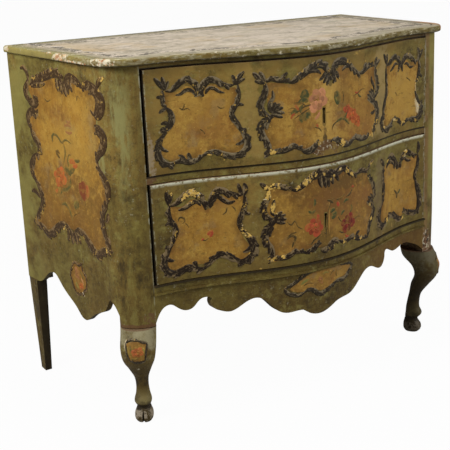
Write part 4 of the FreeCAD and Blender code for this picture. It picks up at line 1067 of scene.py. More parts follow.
def case_finish(paints, name, grain, marks, browner=0, outward=True):
    """Olive paint on the outside of the case and bare wood inside it, with painted shade on inner faces
    near the front and on faces turned downwards.

    The inside faces the case's middle or, unless outward, the back. The function marks gives
    further coats, by the paints, the place and the surface's direction.
    """
    material, shader, place, facing = new_finish(name)
    colour, rough, height = old_paint(place, paints, grain, browner)
    bare, fine = bare_pine(place, paints, ALONG_Z if grain is BRUSH_Z else ALONG_X)
    x, y, _ = place.parts()
    nx, ny, nz = facing.parts()
    if outward:
        inside = (nx * x.math("SIGN", x)).step(0.2, -0.4) * ny.step(-0.5, 0.2)
    else:
        inside = ny.step(-0.1, 0.5)
    # Painted shade: inner faces near the front, seen through the gaps, and faces turned downwards are
    # darkened.
    gap_and_underside_shade = (inside * y.step(-0.10, -0.15)).most(nz.step(-0.4, -0.9))
    colour = coats(colour, *marks(paints, place, facing), (inside, bare), (gap_and_underside_shade * 0.9, paints.grime_and_shade))
    finish(shader, colour, rough + inside * 0.2, height + inside * fine, 0.0008)
    return material


def post_marks(paints, place, _):
    """Light brushed streaks, the arris beside the drawers, stains, chips, the joint over the leg, and
    painted shade on the left post's front beside the drawers.
    """
    x, _, z = place.parts()
    left = x.step(0.1, -0.1)
    streaks = place.brushed((24, 24, 5.5), 6, 0.68).step(0.3, 0.7)
    arris = abs(x).step((OPENING_HALF + 4.5) * MM, OPENING_HALF * MM)
    low = z.step(0.62, 0.34) * place.noise(14, 5, 0.65).step(0.1, 0.75)
    beside = abs(x).step(0.470, 0.445) * left * place.noise(9, 5, 0.65).step(0.1, 0.7)
    high = z.step(0.79, 0.85) * place.noise(20, 5, 0.65).step(0.2, 0.7)
    run = place.brushed((34, 34, 9), 6, 0.72)
    strip = x.step(0.434, 0.438) * x.step(0.460, 0.448) * place.noise(30, 5, 0.7).step(0, 0.6)
    broken = blot(place, (450, 0, 288), (24, 0, 40), 1.3, 75)
    joint = z + (place.noise(40) - 0.5) * 0.003
    return (
        (streaks * z.step(0.50, 0.72) * abs(x).step(0.455, 0.480) * left * 0.8, paints.streaked),
        (arris * place.noise(60).step(0.15, 0.7), paints.worn_edge),
        # Darker towards the bottom and the top; beside is painted shade on the front of the left post
        # next to the drawers.
        (low * 0.5 + beside * 0.45 + high * 0.3, paints.olive_brown),
        (low * run.step(0.5, 0.9) * 0.8, paints.grime_and_shade),
        (low * run.step(0.5, 0.15) * 0.5, paints.olive_light),
        (x.step(0.448, 0.458) * place.noise(9, 5).step(0.1, 0.6) * 0.7, paints.olive_light),
        (strip * 0.6, paints.red_brown),
        (blot(place, (-452, 0, 288), (14, 0, 12), 1.6, 120) * 0.7, paints.rust),
        (broken * 0.9, paints.rust),
        (place.noise(90, 4, 0.75).step(0.55, 0.75) * broken, paints.grime_and_shade),
        (place.noise(120, 4, 0.75).step(0.62, 0.75) * broken, paints.gesso),
        (joint.step((LEG_TOP + 11.5) * MM, (LEG_TOP + 8.5) * MM) * 0.7, paints.rust),
        (z.step((LEG_TOP + 2.5) * MM, (LEG_TOP + 0.5) * MM), paints.grime_and_shade),
    )


def side_marks(paints, place, _):
    """Brown towards the lower edge and a rubbed yellow-green near the back."""
    _, y, z = place.parts()
    return (
        (z.step(0.46, 0.30) * place.noise(9, 5, 0.6) * 0.6, paints.olive_brown),
        (y.step(0.15, 0.27) * place.noise(12, 5).step(0.1, 0.7) * 0.7, paints.olive_light),
    )


def rear_leg_marks(paints, place, facing):
    """Painted shade on the faces that look forward, under the case, and dirt in streaks down the
    outside.
    """
    return (
        # Painted shade on the forward faces.
        (facing.parts()[1].step(-0.3, -0.8) * 0.85, paints.grime_and_shade),
        (place.brushed((60, 60, 7)).step(0.4, 0.8) * 0.6, paints.grime_and_shade),
    )


def rail_marks(paints, place, _):
    """Reddish wear at the ends, scuffs, painted shade beside the gaps over and under the drawers, and
    painted shadow of the top's nose on the top rail.
    """
    x, _, z = place.parts()
    top = DRAWERS["upper"][1]
    # Painted shade: dark lines on the rails beside the gaps over and under the drawers.
    gap_shade = z.step((top + 6) * MM, (top + 4) * MM) * z.step((top + 0.5) * MM, (top + 1.5) * MM)
    for low, _, _ in DRAWERS.values():
        rail = z.step((low - 7) * MM, (low - 5) * MM) * z.step(low * MM, (low - 1) * MM)
        gap_shade = gap_shade.most(rail)
    # Painted shadow of the top's nose on the rail over the upper drawer.
    shadow_under_top = z.step((top + 0.5) * MM, (top + 2.5) * MM) * place.noise(20, 4) * 0.25
    return (
        (blot(place, (-428, 0, 619), (16, 0, 12), 0.9) * 0.75, paints.rust),
        (x.step(0.30, 0.43) * z.step(0.59, 0.61) * place.noise(16, 5, 0.65) * 0.7, paints.rust),
        (place.brushed((14, 60, 140), 4, 0.7).step(0.7, 1) * 0.3, paints.olive_light),
        ((gap_shade * 0.92).most(shadow_under_top), paints.grime_and_shade),
    )


def apron_marks(paints, place, _):
    """Green at the left end and brown towards the right."""
    x = place.parts()[0]
    green = x.step(-0.12, -0.38) * place.noise(10, 4)
    return (green * 0.6, paints.olive), (x.step(0.05, 0.30) * 0.5, paints.ochre_brown)


def panel_finish(paints, name, stains=(), browner=0, warm=0):
    """Ochre ground of the panels: brushed, dirtier at the rim, with yellow and brown patches.

    A stain is its paint, its centre and its reach in millimetres, and its strength.
    """
    material, shader, place, _ = new_finish(name)
    cloud = place.noise(7, 5, 0.6)
    patches = place.noise(24, 6, 0.7)
    brush = place.brushed((90, 90, 14), 4, 0.6)
    speck = place.noise(200, 3, 0.7)
    fine = place.noise(62, 5, 0.7)
    blotched = place.noise(17, 5, 0.7)
    scratched = place.brushed((30, 160, 160), 3, 0.5).step(0.86, 0.97)
    cracked = place.cracks(52) * place.noise(8).step(0.4, 0.85)
    stained = [
        (blot(place, centre, reach, 0.9) * much, getattr(paints, stain))
        for stain, centre, reach, much in stains
    ]
    colour = coats(
        paints.ochre,
        (patches.step(0.35, 0.95) * 0.8, paints.ochre_light),
        (place.noise(10, 5, 0.65).step(0.45, 0.9) * 0.7, paints.russet),
        (cloud.step(0.45, 0.95) * 0.65 + browner, paints.ochre_brown),
        (fine.step(0.5, 0.95) * 0.5, paints.ochre_brown),
        (fine.step(0.45, 0.05) * 0.45, paints.ochre_light),
        (blotched.step(0.65, 0.95) * 0.4, paints.scroll_light),
        (blotched.step(0.32, 0.05) * 0.35, paints.loss),
        (brush.step(0.6, 1) * 0.25, paints.ochre_brown),
        (place.noise(3.6, 3).step(0.5, 0.9) * 0.45, paints.ochre_light),
        (cloud.step(0.1, 0.6) * warm, paints.glaze),
        (place.attribute("rim").step(0.70, 1) * patches.step(0.2, 0.8) * 0.85, paints.ochre_brown),
        (speck.step(0.2, 0) * 0.5, paints.olive_brown),
        *stained,
        (scratched * patches * 0.6, paints.olive_brown),
        (place.noise(150, 4, 0.75).step(0.86, 0.96) * 0.5, paints.loss),
        (cracked * 0.15, paints.olive_brown),
    )
    finish(shader, colour, patches * 0.2 + 0.44, brush * 0.3 + speck * 0.2 - cracked * 0.4, 0.0006)
    return material


def scroll_finish(paints, name, dark, light, ground, wear):
    """Dark scroll paint with lighter strokes along it, flaked where the attribute loss is high."""
    material, shader, place, _ = new_finish(name)
    across = place.attribute("across")
    brush = place.noise(120, 4, 0.7)
    combed = place.math("SINE", across * 7 + place.noise(30) * 6)
    light_stroke = combed.step(0.5, 1) * brush.step(0.3, 0.7) * place.attribute("along").step(0, 0.35)
    highlight = (across + (place.noise(48, 4, 0.7) - 0.5) * 2).step(0.35, 0.95)
    lost = (place.attribute("loss") + (place.noise(95, 5, 0.75) - 0.5) * 1.3).step(0.55, 0.68)
    rubbed = (place.noise(34, 5, 0.7) + (brush - 0.5) * 0.5).step(1 - wear, 1.06 - wear)
    colour = coats(
        dark,
        (light_stroke * 0.5, light),
        (highlight * 0.75, light),
        (brush.step(0.7, 1) * 0.4, light),
        (lost, brush.step(0.75, 1).mix(paints.loss, paints.gesso)),
        (rubbed * 0.85, ground),
    )
    finish(shader, colour, brush * 0.2 + 0.42, brush * 0.5 - lost, 0.0006)
    return material


def flower_finish(paints, wear):
    """Flower paint: each petal's own colour from the attribute paint, brushed and a little rubbed."""
    material, shader, place, _ = new_finish("flower_paint")
    brush = place.noise(170, 4, 0.7)
    colour = coats(
        place.attribute("paint", "Color"),
        (place.attribute("across").step(0.2, 0.9) * 0.35, paints.ochre_light),
        (place.noise(75, 5, 0.7).step(0.35, 0.9) * 0.45 + wear, paints.ochre),
    )
    finish(shader, colour, brush * 0.2 + 0.45, brush, 0.0004)
    return material


def nose_coats(place, paints, patches, up):
    """Colour of the top's edge: grey-green and rubbed on the front, with white flecks on its upper
    round that are partly painted highlight, and painted shade on its lower faces; yellower on the two
    sides.
    """
    x = place.parts()[0]
    olive, _, _ = old_paint(place, paints, BRUSH_NOSE, 0.3)
    weathered = place.brushed((45, 45, 160), 5, 0.75)
    grey_green = coats(
        olive,
        (weathered.step(0.3, 0.9), paints.leg_pale),
        # White flecks on the upward faces: partly wear, partly painted highlight.
        (weathered.step(0.78, 0.95) * up.step(-0.3, 0.4) * 0.7, paints.gesso),
        # Painted shade on the faces turned downwards.
        (up.step(0.15, -0.45) * 0.6, paints.grime_and_shade),
    )
    yellower = (patches * 0.4 + 0.4).mix(olive, paints.side_yellow)
    return x.step(-0.52, -0.55).mix(grey_green, yellower)


def top_finish(paints):
    """Cream middle, grey worn border, green nose with chips of bare wood, painted shade in the groove
    and painted shadow on the underside; inset is in metres.
    """
    material, shader, place, facing = new_finish("top_paint")
    inset = place.attribute("inset")
    x, y, z = place.parts()
    up = facing.parts()[2]
    cloud = place.noise(3.6, 5, 0.6)
    patches = place.noise(15, 6, 0.7)
    brush = place.brushed((6, 70, 70))
    fine = place.noise(60, 5, 0.7)
    dusty = place.brushed((7, 22, 22), 6, 0.7)
    streaked = place.brushed((9, 110, 110), 5, 0.7)
    ragged = place.noise(70, 5, 0.75)
    before = inset.step(0.075, 0.030)
    border = (inset + (place.noise(18, 4) - 0.5) * 0.03).step(0.085, 0.030)
    green = (inset + (patches - 0.5) * 0.016).step(0.046, 0.008)
    rim = inset.step(0.014, 0.008) * inset.step(0.003, 0.006)
    rim = rim * place.noise(160, 4, 0.7).step(0.3, 0.9)
    colour = coats(
        paints.top_cream,
        (patches.step(0.3, 1) * 0.5 + cloud.step(0.3, 1) * 0.15, paints.top_grey),
        (brush.step(0.55, 1) * 0.45, paints.top_grey),
        (place.noise(8, 4).step(0.6, 0.9) * 0.3, paints.ochre_light),
        (fine.step(0.6, 1) * 0.5, paints.top_grey),
        (dusty.step(0.5, 0.95) * 0.55, paints.top_grey),
        (dusty.step(0.3, 0.05) * 0.5, paints.gesso),
        (fine.step(0.85, 1) * patches * 0.5, paints.top_scroll),
        ((x + (cloud - 0.5) * 0.15).step(-0.36, -0.50) * 0.3, paints.ochre_light),
        (border * (patches * 0.6 + 0.5), paints.top_grey),
        (green * (x.step(-0.38, -0.50).most(y.step(0.27, 0.30)) * 0.75 + 0.2), paints.olive_light),
        (before * streaked.step(0.6, 0.9) * 0.55, paints.top_scroll),
        (before * streaked.step(0.35, 0.1) * 0.6, paints.gesso),
        (streaked.step(0.55, 0.95) * 0.4, paints.top_grey),
        (place.noise(26, 6, 0.75).step(0.62, 0.9) * 0.45, paints.top_scroll),
        (up.step(0.93, 0.6), nose_coats(place, paints, patches, up)),
        (rim * 0.45, paints.worn_edge),
        (place.noise(45, 5, 0.75).step(0.84, 0.96) * inset.step(0.14, 0.03) * 0.85, paints.gesso),
    )
    for centre, reach in TOP_WORN:
        worn = blot(place, centre, reach, 1.6, 40) * up.step(0.5, 0.95)
        colour = coats(
            colour,
            (worn * streaked.step(0.2, 0.7) * 0.75, paints.top_scroll),
            (worn * place.noise(110, 4, 0.75).step(0.68, 0.8), paints.gesso),
        )
    chips = None
    for centre, reach in TOP_CHIPS:
        chip = blot(place, centre, reach, 1.5, 95)
        chips = chips.most(chip) if chips else chip
    wood = place.noise(50, 4, 0.7).step(0.35, 0.65).mix(paints.chip_red, paints.fresh_wood)
    split = blot(place, *TOP_SPLIT, 0.9, 40) * inset.step(0.034, 0.014)
    # Painted shade in the groove.
    groove = abs(inset - 0.0255).step(0.0026, 0.0010) * up.step(0.5, 0.95)
    # Painted shadow on the top's underside and the foot of its nose.
    below = z.step((CASE_TOP + 3) * MM, CASE_TOP * MM) * place.noise(22, 4).step(0.2, 0.6)
    left_edge = inset.step(0.018, 0.009) * x.step(0, -0.1)
    colour = coats(
        colour,
        (chips * left_edge, ragged.step(0.35, 0.6).mix(wood, paints.gesso)),
        (split * 0.9, ragged.step(0.5, 0.9).mix(paints.split_red, paints.fresh_wood)),
        (groove * 0.85, paints.grime_and_shade),
        (below * 0.75, paints.grime_and_shade),
    )
    finish(shader, colour, patches * 0.25 + 0.42, brush * 0.4 + ragged * 0.3 - chips * 0.8, 0.0009)
    return material


def leg_finish(paints):
    """Grey-green at the knee, olive below, a dark ring over the hoof and pale hooves; painted shade
    darkens the whole right leg and the hooves' cleft.
    """
    material, shader, place, _ = new_finish("leg_paint_carved")
    colour, rough, height = old_paint(place, paints, BRUSH_Z, 0.25)
    x, _, z = place.parts()
    ragged = place.noise(38, 5, 0.7)
    wobble = (ragged - 0.5) * 0.05
    pale_top = (z + wobble * 1.4).step(0.200, 0.252) * place.noise(26, 5, 0.7).step(-0.3, 0.55)
    shade = (z + wobble).step(0.205, 0.13)
    ankle = (z + wobble * 0.3).step(0.040, 0.052) * z.step(0.100, 0.06)
    band = (z + wobble * 0.3).step(0.028, 0.036) * z.step(0.054, 0.046)
    hoof = (z + wobble * 0.2).step(0.036, 0.030)
    colour = coats(
        colour,
        (pale_top * 0.9, paints.leg_pale),
        (shade * 0.8, paints.olive_brown),
        (shade * z.step(0.085, 0.105) * (ragged.step(0.2, 0.8) * 0.6 + 0.25), paints.grime_and_shade),
        (ankle * 0.25, paints.olive_light),
        (ankle * 0.2, paints.leg_pale),
        (ankle * ragged.step(0.4, 0.8) * 0.5, paints.grime_and_shade),
        (band * 0.9, paints.grime_and_shade),
        (hoof * 0.6, paints.grime_and_shade),
        (hoof * ragged.step(0.3, 0.55) * 0.9, paints.hoof),
        # Painted shade over the whole right leg.
        (x.step(0, 0.1) * 0.62, paints.grime_and_shade),
        # Painted shade in the cleft between the toes.
        (place.attribute("cleft").step(0.25, 0.7), paints.grime_and_shade),
        (blot(place, (-487, -190, 166), (3, 4, 10), 0.4, 90) * 0.6, paints.gesso),
        (z.step((LEG_TOP - 4) * MM, (LEG_TOP - 1.5) * MM) * 0.7, paints.rust),
    )
    finish(shader, colour, rough, height, 0.0009)
    return material


# ---------------------------------------------------------------- charts of the chest's surfaces
def front_end(z):
    """Face of the drawers beside the posts: it leans back above the lower drawer's foot."""
    return FRONT_END + LEAN * np.maximum((z - LEAN_FOOT) / LEAN_SPAN, 0)


def front_surface(depth):
    """The serpentine face, depth behind the drawers: a raised cosine forward of the posts' line."""

    def surface(x, z):
        bow = 0.5 * (1 + np.cos(np.pi * np.minimum(np.abs(x) / OPENING_HALF, 1)))
        return np.stack([x, front_end(z) - BOW * bow + depth, z], -1)

    return surface


def side_surface(sign):
    """A side, by the distance forward from its back corner: plank, short tail, then the round post."""
    run = math.hypot(HALF_BACK - HALF_FRONT, BACK - SIDE_FOOT)

    def surface(forward, z):
        share_plank = np.clip(forward / run, 0, 1)
        centre_y = front_end(z) + APRON_SETBACK + CORNER_RADIUS
        tail = SIDE_FOOT - centre_y
        past = np.clip(forward - run, 0, tail)
        turn = np.maximum(forward - run - tail, 0) / CORNER_RADIUS
        x = HALF_BACK - (HALF_BACK - HALF_FRONT) * share_plank - CORNER_RADIUS * (1 - np.cos(turn))
        y = BACK - (BACK - SIDE_FOOT) * share_plank - past - CORNER_RADIUS * np.sin(turn)
        return np.stack([sign * x, y, z], -1)

    return surface


def leg_surface(sign):
    """A front leg's knee, by the length across it and the height."""

    def surface(across, z):
        return leg_points(-across / LEG_RADIUS, z, sign)

    return surface


def chart(surface, facing=1):
    """Adds heights to a surface, along its normal: the cross product of its two small steps."""
    small = 0.05

    def place(u, v, height):
        u, v = np.broadcast_arrays(np.asarray(u, float), np.asarray(v, float))
        normal = np.cross(
            surface(u + small, v) - surface(u - small, v), surface(u, v + small) - surface(u, v - small)
        )
        normal *= facing / np.linalg.norm(normal, axis=-1, keepdims=True)
        return surface(u, v) + normal * np.asarray(height)[..., None]

    return place


def aside(surface, across):
    """The same surface with every place moved sideways, in millimetres."""
    return lambda u, v, h: surface(u + across, v, h)


DRAWER_FACE = chart(front_surface(0))
APRON_FACE = chart(front_surface(APRON_SETBACK))


# ---------------------------------------------------------------- curves, strokes and panels
def through(x, knots, values):
    """Cubic Hermite spans through values, each knot's slope that of its neighbours' chord."""
    slope = np.gradient(values, knots, axis=0)
    i = np.clip(np.searchsorted(knots, x, side="right") - 1, 0, len(knots) - 2)
    span = knots[i + 1] - knots[i]
    f = (x - knots[i]) / span
    if values.ndim > 1:
        f, span = f[..., None], span[..., None]
    start = values[i] * (1 + 2 * f) * (1 - f) ** 2 + slope[i] * span * f * (1 - f) ** 2
    return start + values[i + 1] * f * f * (3 - 2 * f) + slope[i + 1] * span * f * f * (f - 1)


def curve(points, count):
    """A smooth curve through points at even lengths, and the length run at each."""
    run = np.append(0, np.cumsum(np.linalg.norm(np.diff(points, axis=0), axis=1)))
    at = np.linspace(0, run[-1], count)
    return through(at, run, points), at


def loop_radius(outline, centre, angles):
    """Radius of a closed outline about its centre at the angles, from a smooth curve through it."""
    points = np.reshape(outline, (-1, 2)).astype(float)
    twice = np.concatenate([points[-2:], points, points[:3]])
    line, _ = curve(twice, 24 * len(twice))
    away = line - centre
    turn = np.mod(np.arctan2(away[:, 1], away[:, 0]), 2 * np.pi)
    order = np.argsort(turn)
    return np.interp(angles, turn[order], np.linalg.norm(away, axis=1)[order], period=2 * np.pi)


def directions(line, run):
    """Unit direction of a curve at each of its points."""
    ahead = np.gradient(line, run, axis=0)
    return ahead / np.linalg.norm(ahead, axis=1, keepdims=True)


def quads(rows, columns, joined=False):
    """Faces of a grid of closed rows; when joined, its last row also meets its first."""
    r = np.arange(rows if joined else rows - 1)[:, None] * columns
    c = np.arange(columns)[None, :]
    d = (c + 1) % columns
    up = (r + columns) % (rows * columns)
    return np.stack([r + c, r + d, up + d, up + c], -1).reshape(-1, 4)


class Relief:
    """Closed parts gathered into one mesh, with the values that its finish reads at each point."""

    def __init__(self):
        self.points = []
        self.faces = []
        self.values = {}
        self.count = 0

    def add(self, points, faces, **values):
        """Points and faces, with one value or one colour for each point."""
        self.points.append(points.reshape(-1, 3))
        self.faces += [(f + self.count).tolist() for f in faces]
        for key, value in values.items():
            self.values.setdefault(key, []).append(value)
        self.count += len(self.points[-1])

    def add_capped(self, rings, start, end, **values):
        """Rings of points with a pole at each end. A value is a grid like the rings, or one colour."""
        rows, columns, _ = rings.shape
        points = np.concatenate([[start], rings.reshape(-1, 3), [end]])
        body = quads(rows, columns) + 1
        c = np.arange(columns)
        d = (c + 1) % columns
        last = rows * columns + 1
        first = np.stack([np.zeros_like(c), d + 1, c + 1], -1)
        tail = (rows - 1) * columns + 1
        final = np.stack([np.full_like(c, last), tail + c, tail + d], -1)
        spread = {}
        for key, value in values.items():
            if np.ndim(value) == 1:
                spread[key] = np.tile(value, (len(points), 1))
            else:
                flat = np.ravel(value)
                spread[key] = np.concatenate([flat[:1], flat, flat[-1:]])
        self.add(points, [*body, *first, *final], **spread)

    def build(self, name, material, body, slot, replaces=()):
        """Makes the piece: faces turned outwards by the sign of the volume that they close."""
        points = np.concatenate(self.points) * MM
        faces = self.faces
        corners = np.array([f[:3] for f in faces] + [(f[0], f[2], f[3]) for f in faces if len(f) == 4])
        a, b, c = points[corners].transpose(1, 0, 2)
        if np.einsum("ij,ij->i", a, np.cross(b, c)).sum() < 0:
            faces = [f[::-1] for f in faces]
        mesh = bpy.data.meshes.new(name)
        mesh.from_pydata(points.tolist(), [], faces)
        for key, parts in self.values.items():
            value = np.concatenate(parts).astype(np.float32)
            kind, field = ("FLOAT", "value") if value.ndim == 1 else ("FLOAT_COLOR", "color")
            mesh.attributes.new(key, kind, "POINT").data.foreach_set(field, value.ravel())
        mesh.shade_smooth()
        mesh.set_sharp_from_angle(angle=math.radians(50))
        mesh.materials.append(material)
        made = bpy.data.objects.new(name, mesh)
        bpy.context.scene.collection.objects.link(made)
        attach(made, body)
        if replaces:
            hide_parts(*replaces)


def losses_at(u, v, losses):
    """How bare each point is: 1 at the middle of the nearest loss, 0 past twice its radius."""
    bare = np.zeros_like(u)
    for x, y, radius in losses:
        bare = np.maximum(bare, 1 - np.hypot(u - x, v - y) / (2 * radius))
    return bare


def read_row(row):
    """A row's half width, widest place and lobes, and its points."""
    cut = row[0] if isinstance(row[0], tuple) else (row[0], 0.5, 0)
    return cut, np.reshape(row[1:], (-1, 2)).astype(float)


def stroke(relief, surface, cut, knots, height, base, losses=(), colour=None):
    """One brushed stroke: a section carried along a smooth curve.

    Across the curve the section is half an ellipse with a shallow hollow along its middle. Its
    width and height swell from 0 at both ends, a quarter sine up to the widest place and a quarter
    cosine down from it. Lobes widen one side by the size of a sine along the stroke. The foot of
    the section is sunk below the surface.
    """
    half, widest, lobes = cut
    total = np.linalg.norm(np.diff(knots, axis=0), axis=1).sum()
    line, run = curve(knots, int(total / SECTION_STEP) + 4 * abs(lobes) + 6)
    ahead = directions(line, run)
    t = run / run[-1]
    rise = np.sin(np.pi / 2 * np.minimum(t / widest, 1)) ** 0.45
    fall = np.cos(np.pi / 2 * np.clip((t - widest) / (1 - widest), 0, 1)) ** 0.5
    swell = rise * fall
    lobed = np.abs(np.sin(np.pi * abs(lobes) * t)) ** 0.7
    scallop = SCALLOP_LEAST + SCALLOP_DEPTH * lobed if lobes else 1
    left = half * swell * (scallop if lobes > 0 else 1)
    right = half * swell * (scallop if lobes < 0 else 1)
    turn = np.linspace(0, np.pi, RINGS_ACROSS)
    hollow = HOLLOW_DEPTH * np.exp(-((np.cos(turn) / HOLLOW_WIDTH) ** 2))
    across = np.append(np.cos(turn), (-FOOT_HALF_WIDTH, FOOT_HALF_WIDTH))
    dome = np.append(np.sin(turn) ** 0.7 * (1 - hollow), (0, 0))
    under = np.append(np.zeros(RINGS_ACROSS), (1, 1))
    side = np.where(across > 0, left[:, None], right[:, None]) * across
    u = line[:, :1] - ahead[:, 1:] * side
    v = line[:, 1:] + ahead[:, :1] * side
    rings = surface(u, v, np.where(under, -FOOTING, base + height * swell[:, None] * dome))
    values = {"across": across + 0 * u, "along": t[:, None] + 0 * u}
    if colour is None:
        values["loss"] = losses_at(u, v, losses)
    values = {key: value[1:-1] for key, value in values.items()}
    if colour is not None:
        values["paint"] = (*colour, 1)
    relief.add_capped(rings[1:-1], surface(*line[0], 0), surface(*line[-1], 0), **values)


def crests(cut, knots):
    """Small round leaves that lie over a lobed scroll, one at each lobe, leaning forward."""
    half, _, lobes = cut
    line, run = curve(knots, abs(lobes) + 2)
    ahead = directions(line, run)[1:-1, None]
    side = np.stack([-ahead[..., 1], ahead[..., 0]], -1) * np.sign(lobes)
    reach = half * np.array(CREST_REACH)
    leaves = line[1:-1, None] + reach[:, :1] * ahead + reach[:, 1:] * side
    return [((CREST_WIDTH * half, 0.6, 0), leaf) for leaf in leaves]


def panel(relief, surface, lift, centre, outline, keyhole=None):
    """A panel's ground: a grid of angles and shares of the way to its outline, on both its faces.

    With a keyhole its rings start from the keyhole's outline and not from a pole.
    """
    angles = np.linspace(0, 2 * np.pi, PANEL_STEPS, endpoint=False)
    outer = loop_radius(outline, centre, angles)
    f = np.linspace(0, 1, int(outer.max() / PANEL_RING_WIDTH) + 3)
    inner = 0
    if keyhole:
        wide, high = keyhole
        inner = ((np.abs(np.cos(angles)) / wide) ** 4 + (np.abs(np.sin(angles)) / high) ** 4) ** -0.25
    else:
        f = f[1:]
    radius = inner + f[:, None] * (outer - inner)
    u = centre[0] + radius * np.cos(angles)
    v = centre[1] + radius * np.sin(angles)
    top = np.full_like(u, lift)
    top[-1] = lift * 0.4
    both = np.concatenate([surface(u, v, top), surface(u, v, np.full_like(u, -FOOTING))[::-1]])
    rim = f[:, None] + 0 * u
    rims = np.concatenate([rim, rim[::-1]])
    if keyhole:
        relief.add(both, quads(len(both), len(angles), True), rim=rims.reshape(-1))
    else:
        relief.add_capped(both, surface(*centre, lift), surface(*centre, -FOOTING), rim=rims)


def rose(relief, surface, centre, radius, colour, height, base, petals):
    """A blown rose: rings of broad curved petals that overlap, uneven in length and tone.

    A ring is the shares of the radius where its petals start and end, their width and their tone.
    """
    for ring, (near, far, wide, shade) in enumerate(ROSE_RINGS):
        for k in range(petals - ring):
            uneven = 0.5 + 0.5 * math.sin(2.4 * k + 1.7 * ring + centre[0])
            turns = 2 * math.pi * (k + 0.5 * ring + 0.25 * uneven) / (petals - ring) + PETAL_TWIST
            out = radius * (near + PETAL_STATIONS * (far * (0.85 + 0.3 * uneven) - near))
            points = centre + out[:, None] * np.stack([np.cos(turns), np.sin(turns)], 1)
            tone = [c * shade * (0.7 + 0.55 * uneven) for c in colour]
            cut = radius * wide * (0.6 + 0.35 * uneven), 0.6, 0
            lift = base + 0.12 * ring
            stroke(relief, surface, cut, points, height * (1 + 0.5 * ring), lift, colour=tone)


def ornament(prefix, surface, design, finishes, body, slot):
    """Panels, scrolls and flowers of one face, each kind in one piece."""
    scene = bpy.context.scene
    sizes, paints = scene.chest_ornament, scene.chest_paints
    relief, lift, petal = sizes.relief / MM, sizes.panel_lift / MM, sizes.flower_lift / MM
    kinds = {"panels": Relief(), "scrolls": Relief(), "flowers": Relief()}
    grounds, scrolls, flowers = kinds.values()
    rows, losses, panels, sprays, roses = design
    for shape in panels:
        panel(grounds, surface, lift, *shape)
    for row in rows:
        cut, knots = read_row(row)
        stroke(scrolls, surface, cut, knots, relief, SCROLL_BASE, losses)
        for leaf in crests(cut, knots):
            stroke(scrolls, surface, *leaf, relief * 0.9, CREST_BASE, losses)
    for name, *row in sprays:
        stroke(flowers, surface, *read_row(row), petal, lift, colour=getattr(paints, name))
    for name, x, z, radius in roses:
        rose(flowers, surface, (x, z), radius, getattr(paints, name), petal, lift, sizes.petals)
    for (kind, made), material in zip(kinds.items(), finishes):
        made.build(f"{prefix}_{kind}", material, body, slot)


# ---------------------------------------------------------------- top
def top_path():
    """Plan of the top's edge from one back corner to the other, and the unit direction inwards.

    From the left back corner: a straight side, a round corner, the serpentine front, then the
    mirror image of the first two. At the back corners the direction runs along the back, so that
    the nose dies out there.
    """
    corner = np.array([-HALF_BACK - TOP_OVERHANG, BACK])
    front = front_end(CASE_TOP)
    middle = front + APRON_SETBACK + CORNER_RADIUS - CORNER_FORWARD
    centre = np.array([-HALF_FRONT + CORNER_RADIUS, middle])
    radius = CORNER_RADIUS + CORNER_OVERHANG
    toward = corner - centre
    first = math.atan2(toward[1], toward[0]) + math.acos(radius / np.linalg.norm(toward))
    turns = np.linspace(first, 1.5 * math.pi, CORNER_STEPS)
    arc = centre + radius * np.stack([np.cos(turns), np.sin(turns)], 1)
    side = corner + np.linspace(0, 1, CORNER_STEPS)[:, None] * (arc[0] - corner)
    x = np.linspace(-0.9 * OPENING_HALF, 0, BROW_STEPS)
    brow = front - TOP_OVERHANG - BOW * 0.5 * (1 + np.cos(np.pi * x / OPENING_HALF))
    wave = curve(np.concatenate([arc[-1:], np.stack([x, brow], 1)]), WAVE_STEPS)[0][1:]
    left = np.concatenate([side[:-1], arc, wave])
    line = np.concatenate([left, (left * (-1, 1))[::-1][1:]])
    ahead = np.gradient(line, axis=0)
    inward = np.stack([-ahead[:, 1], ahead[:, 0]], 1)
    inward /= np.linalg.norm(inward, axis=1, keepdims=True)
    inward[0], inward[-1] = (1, 0), (-1, 0)
    return line, inward


def edge_distance(places, line):
    """Least distance from each place to the segments of a line."""
    step = np.diff(line, axis=0)
    off = places[:, None] - line[:-1]
    along = np.clip((off * step).sum(-1) / (step * step).sum(-1), 0, 1)
    return np.linalg.norm(off - along[..., None] * step, axis=-1).min(1)


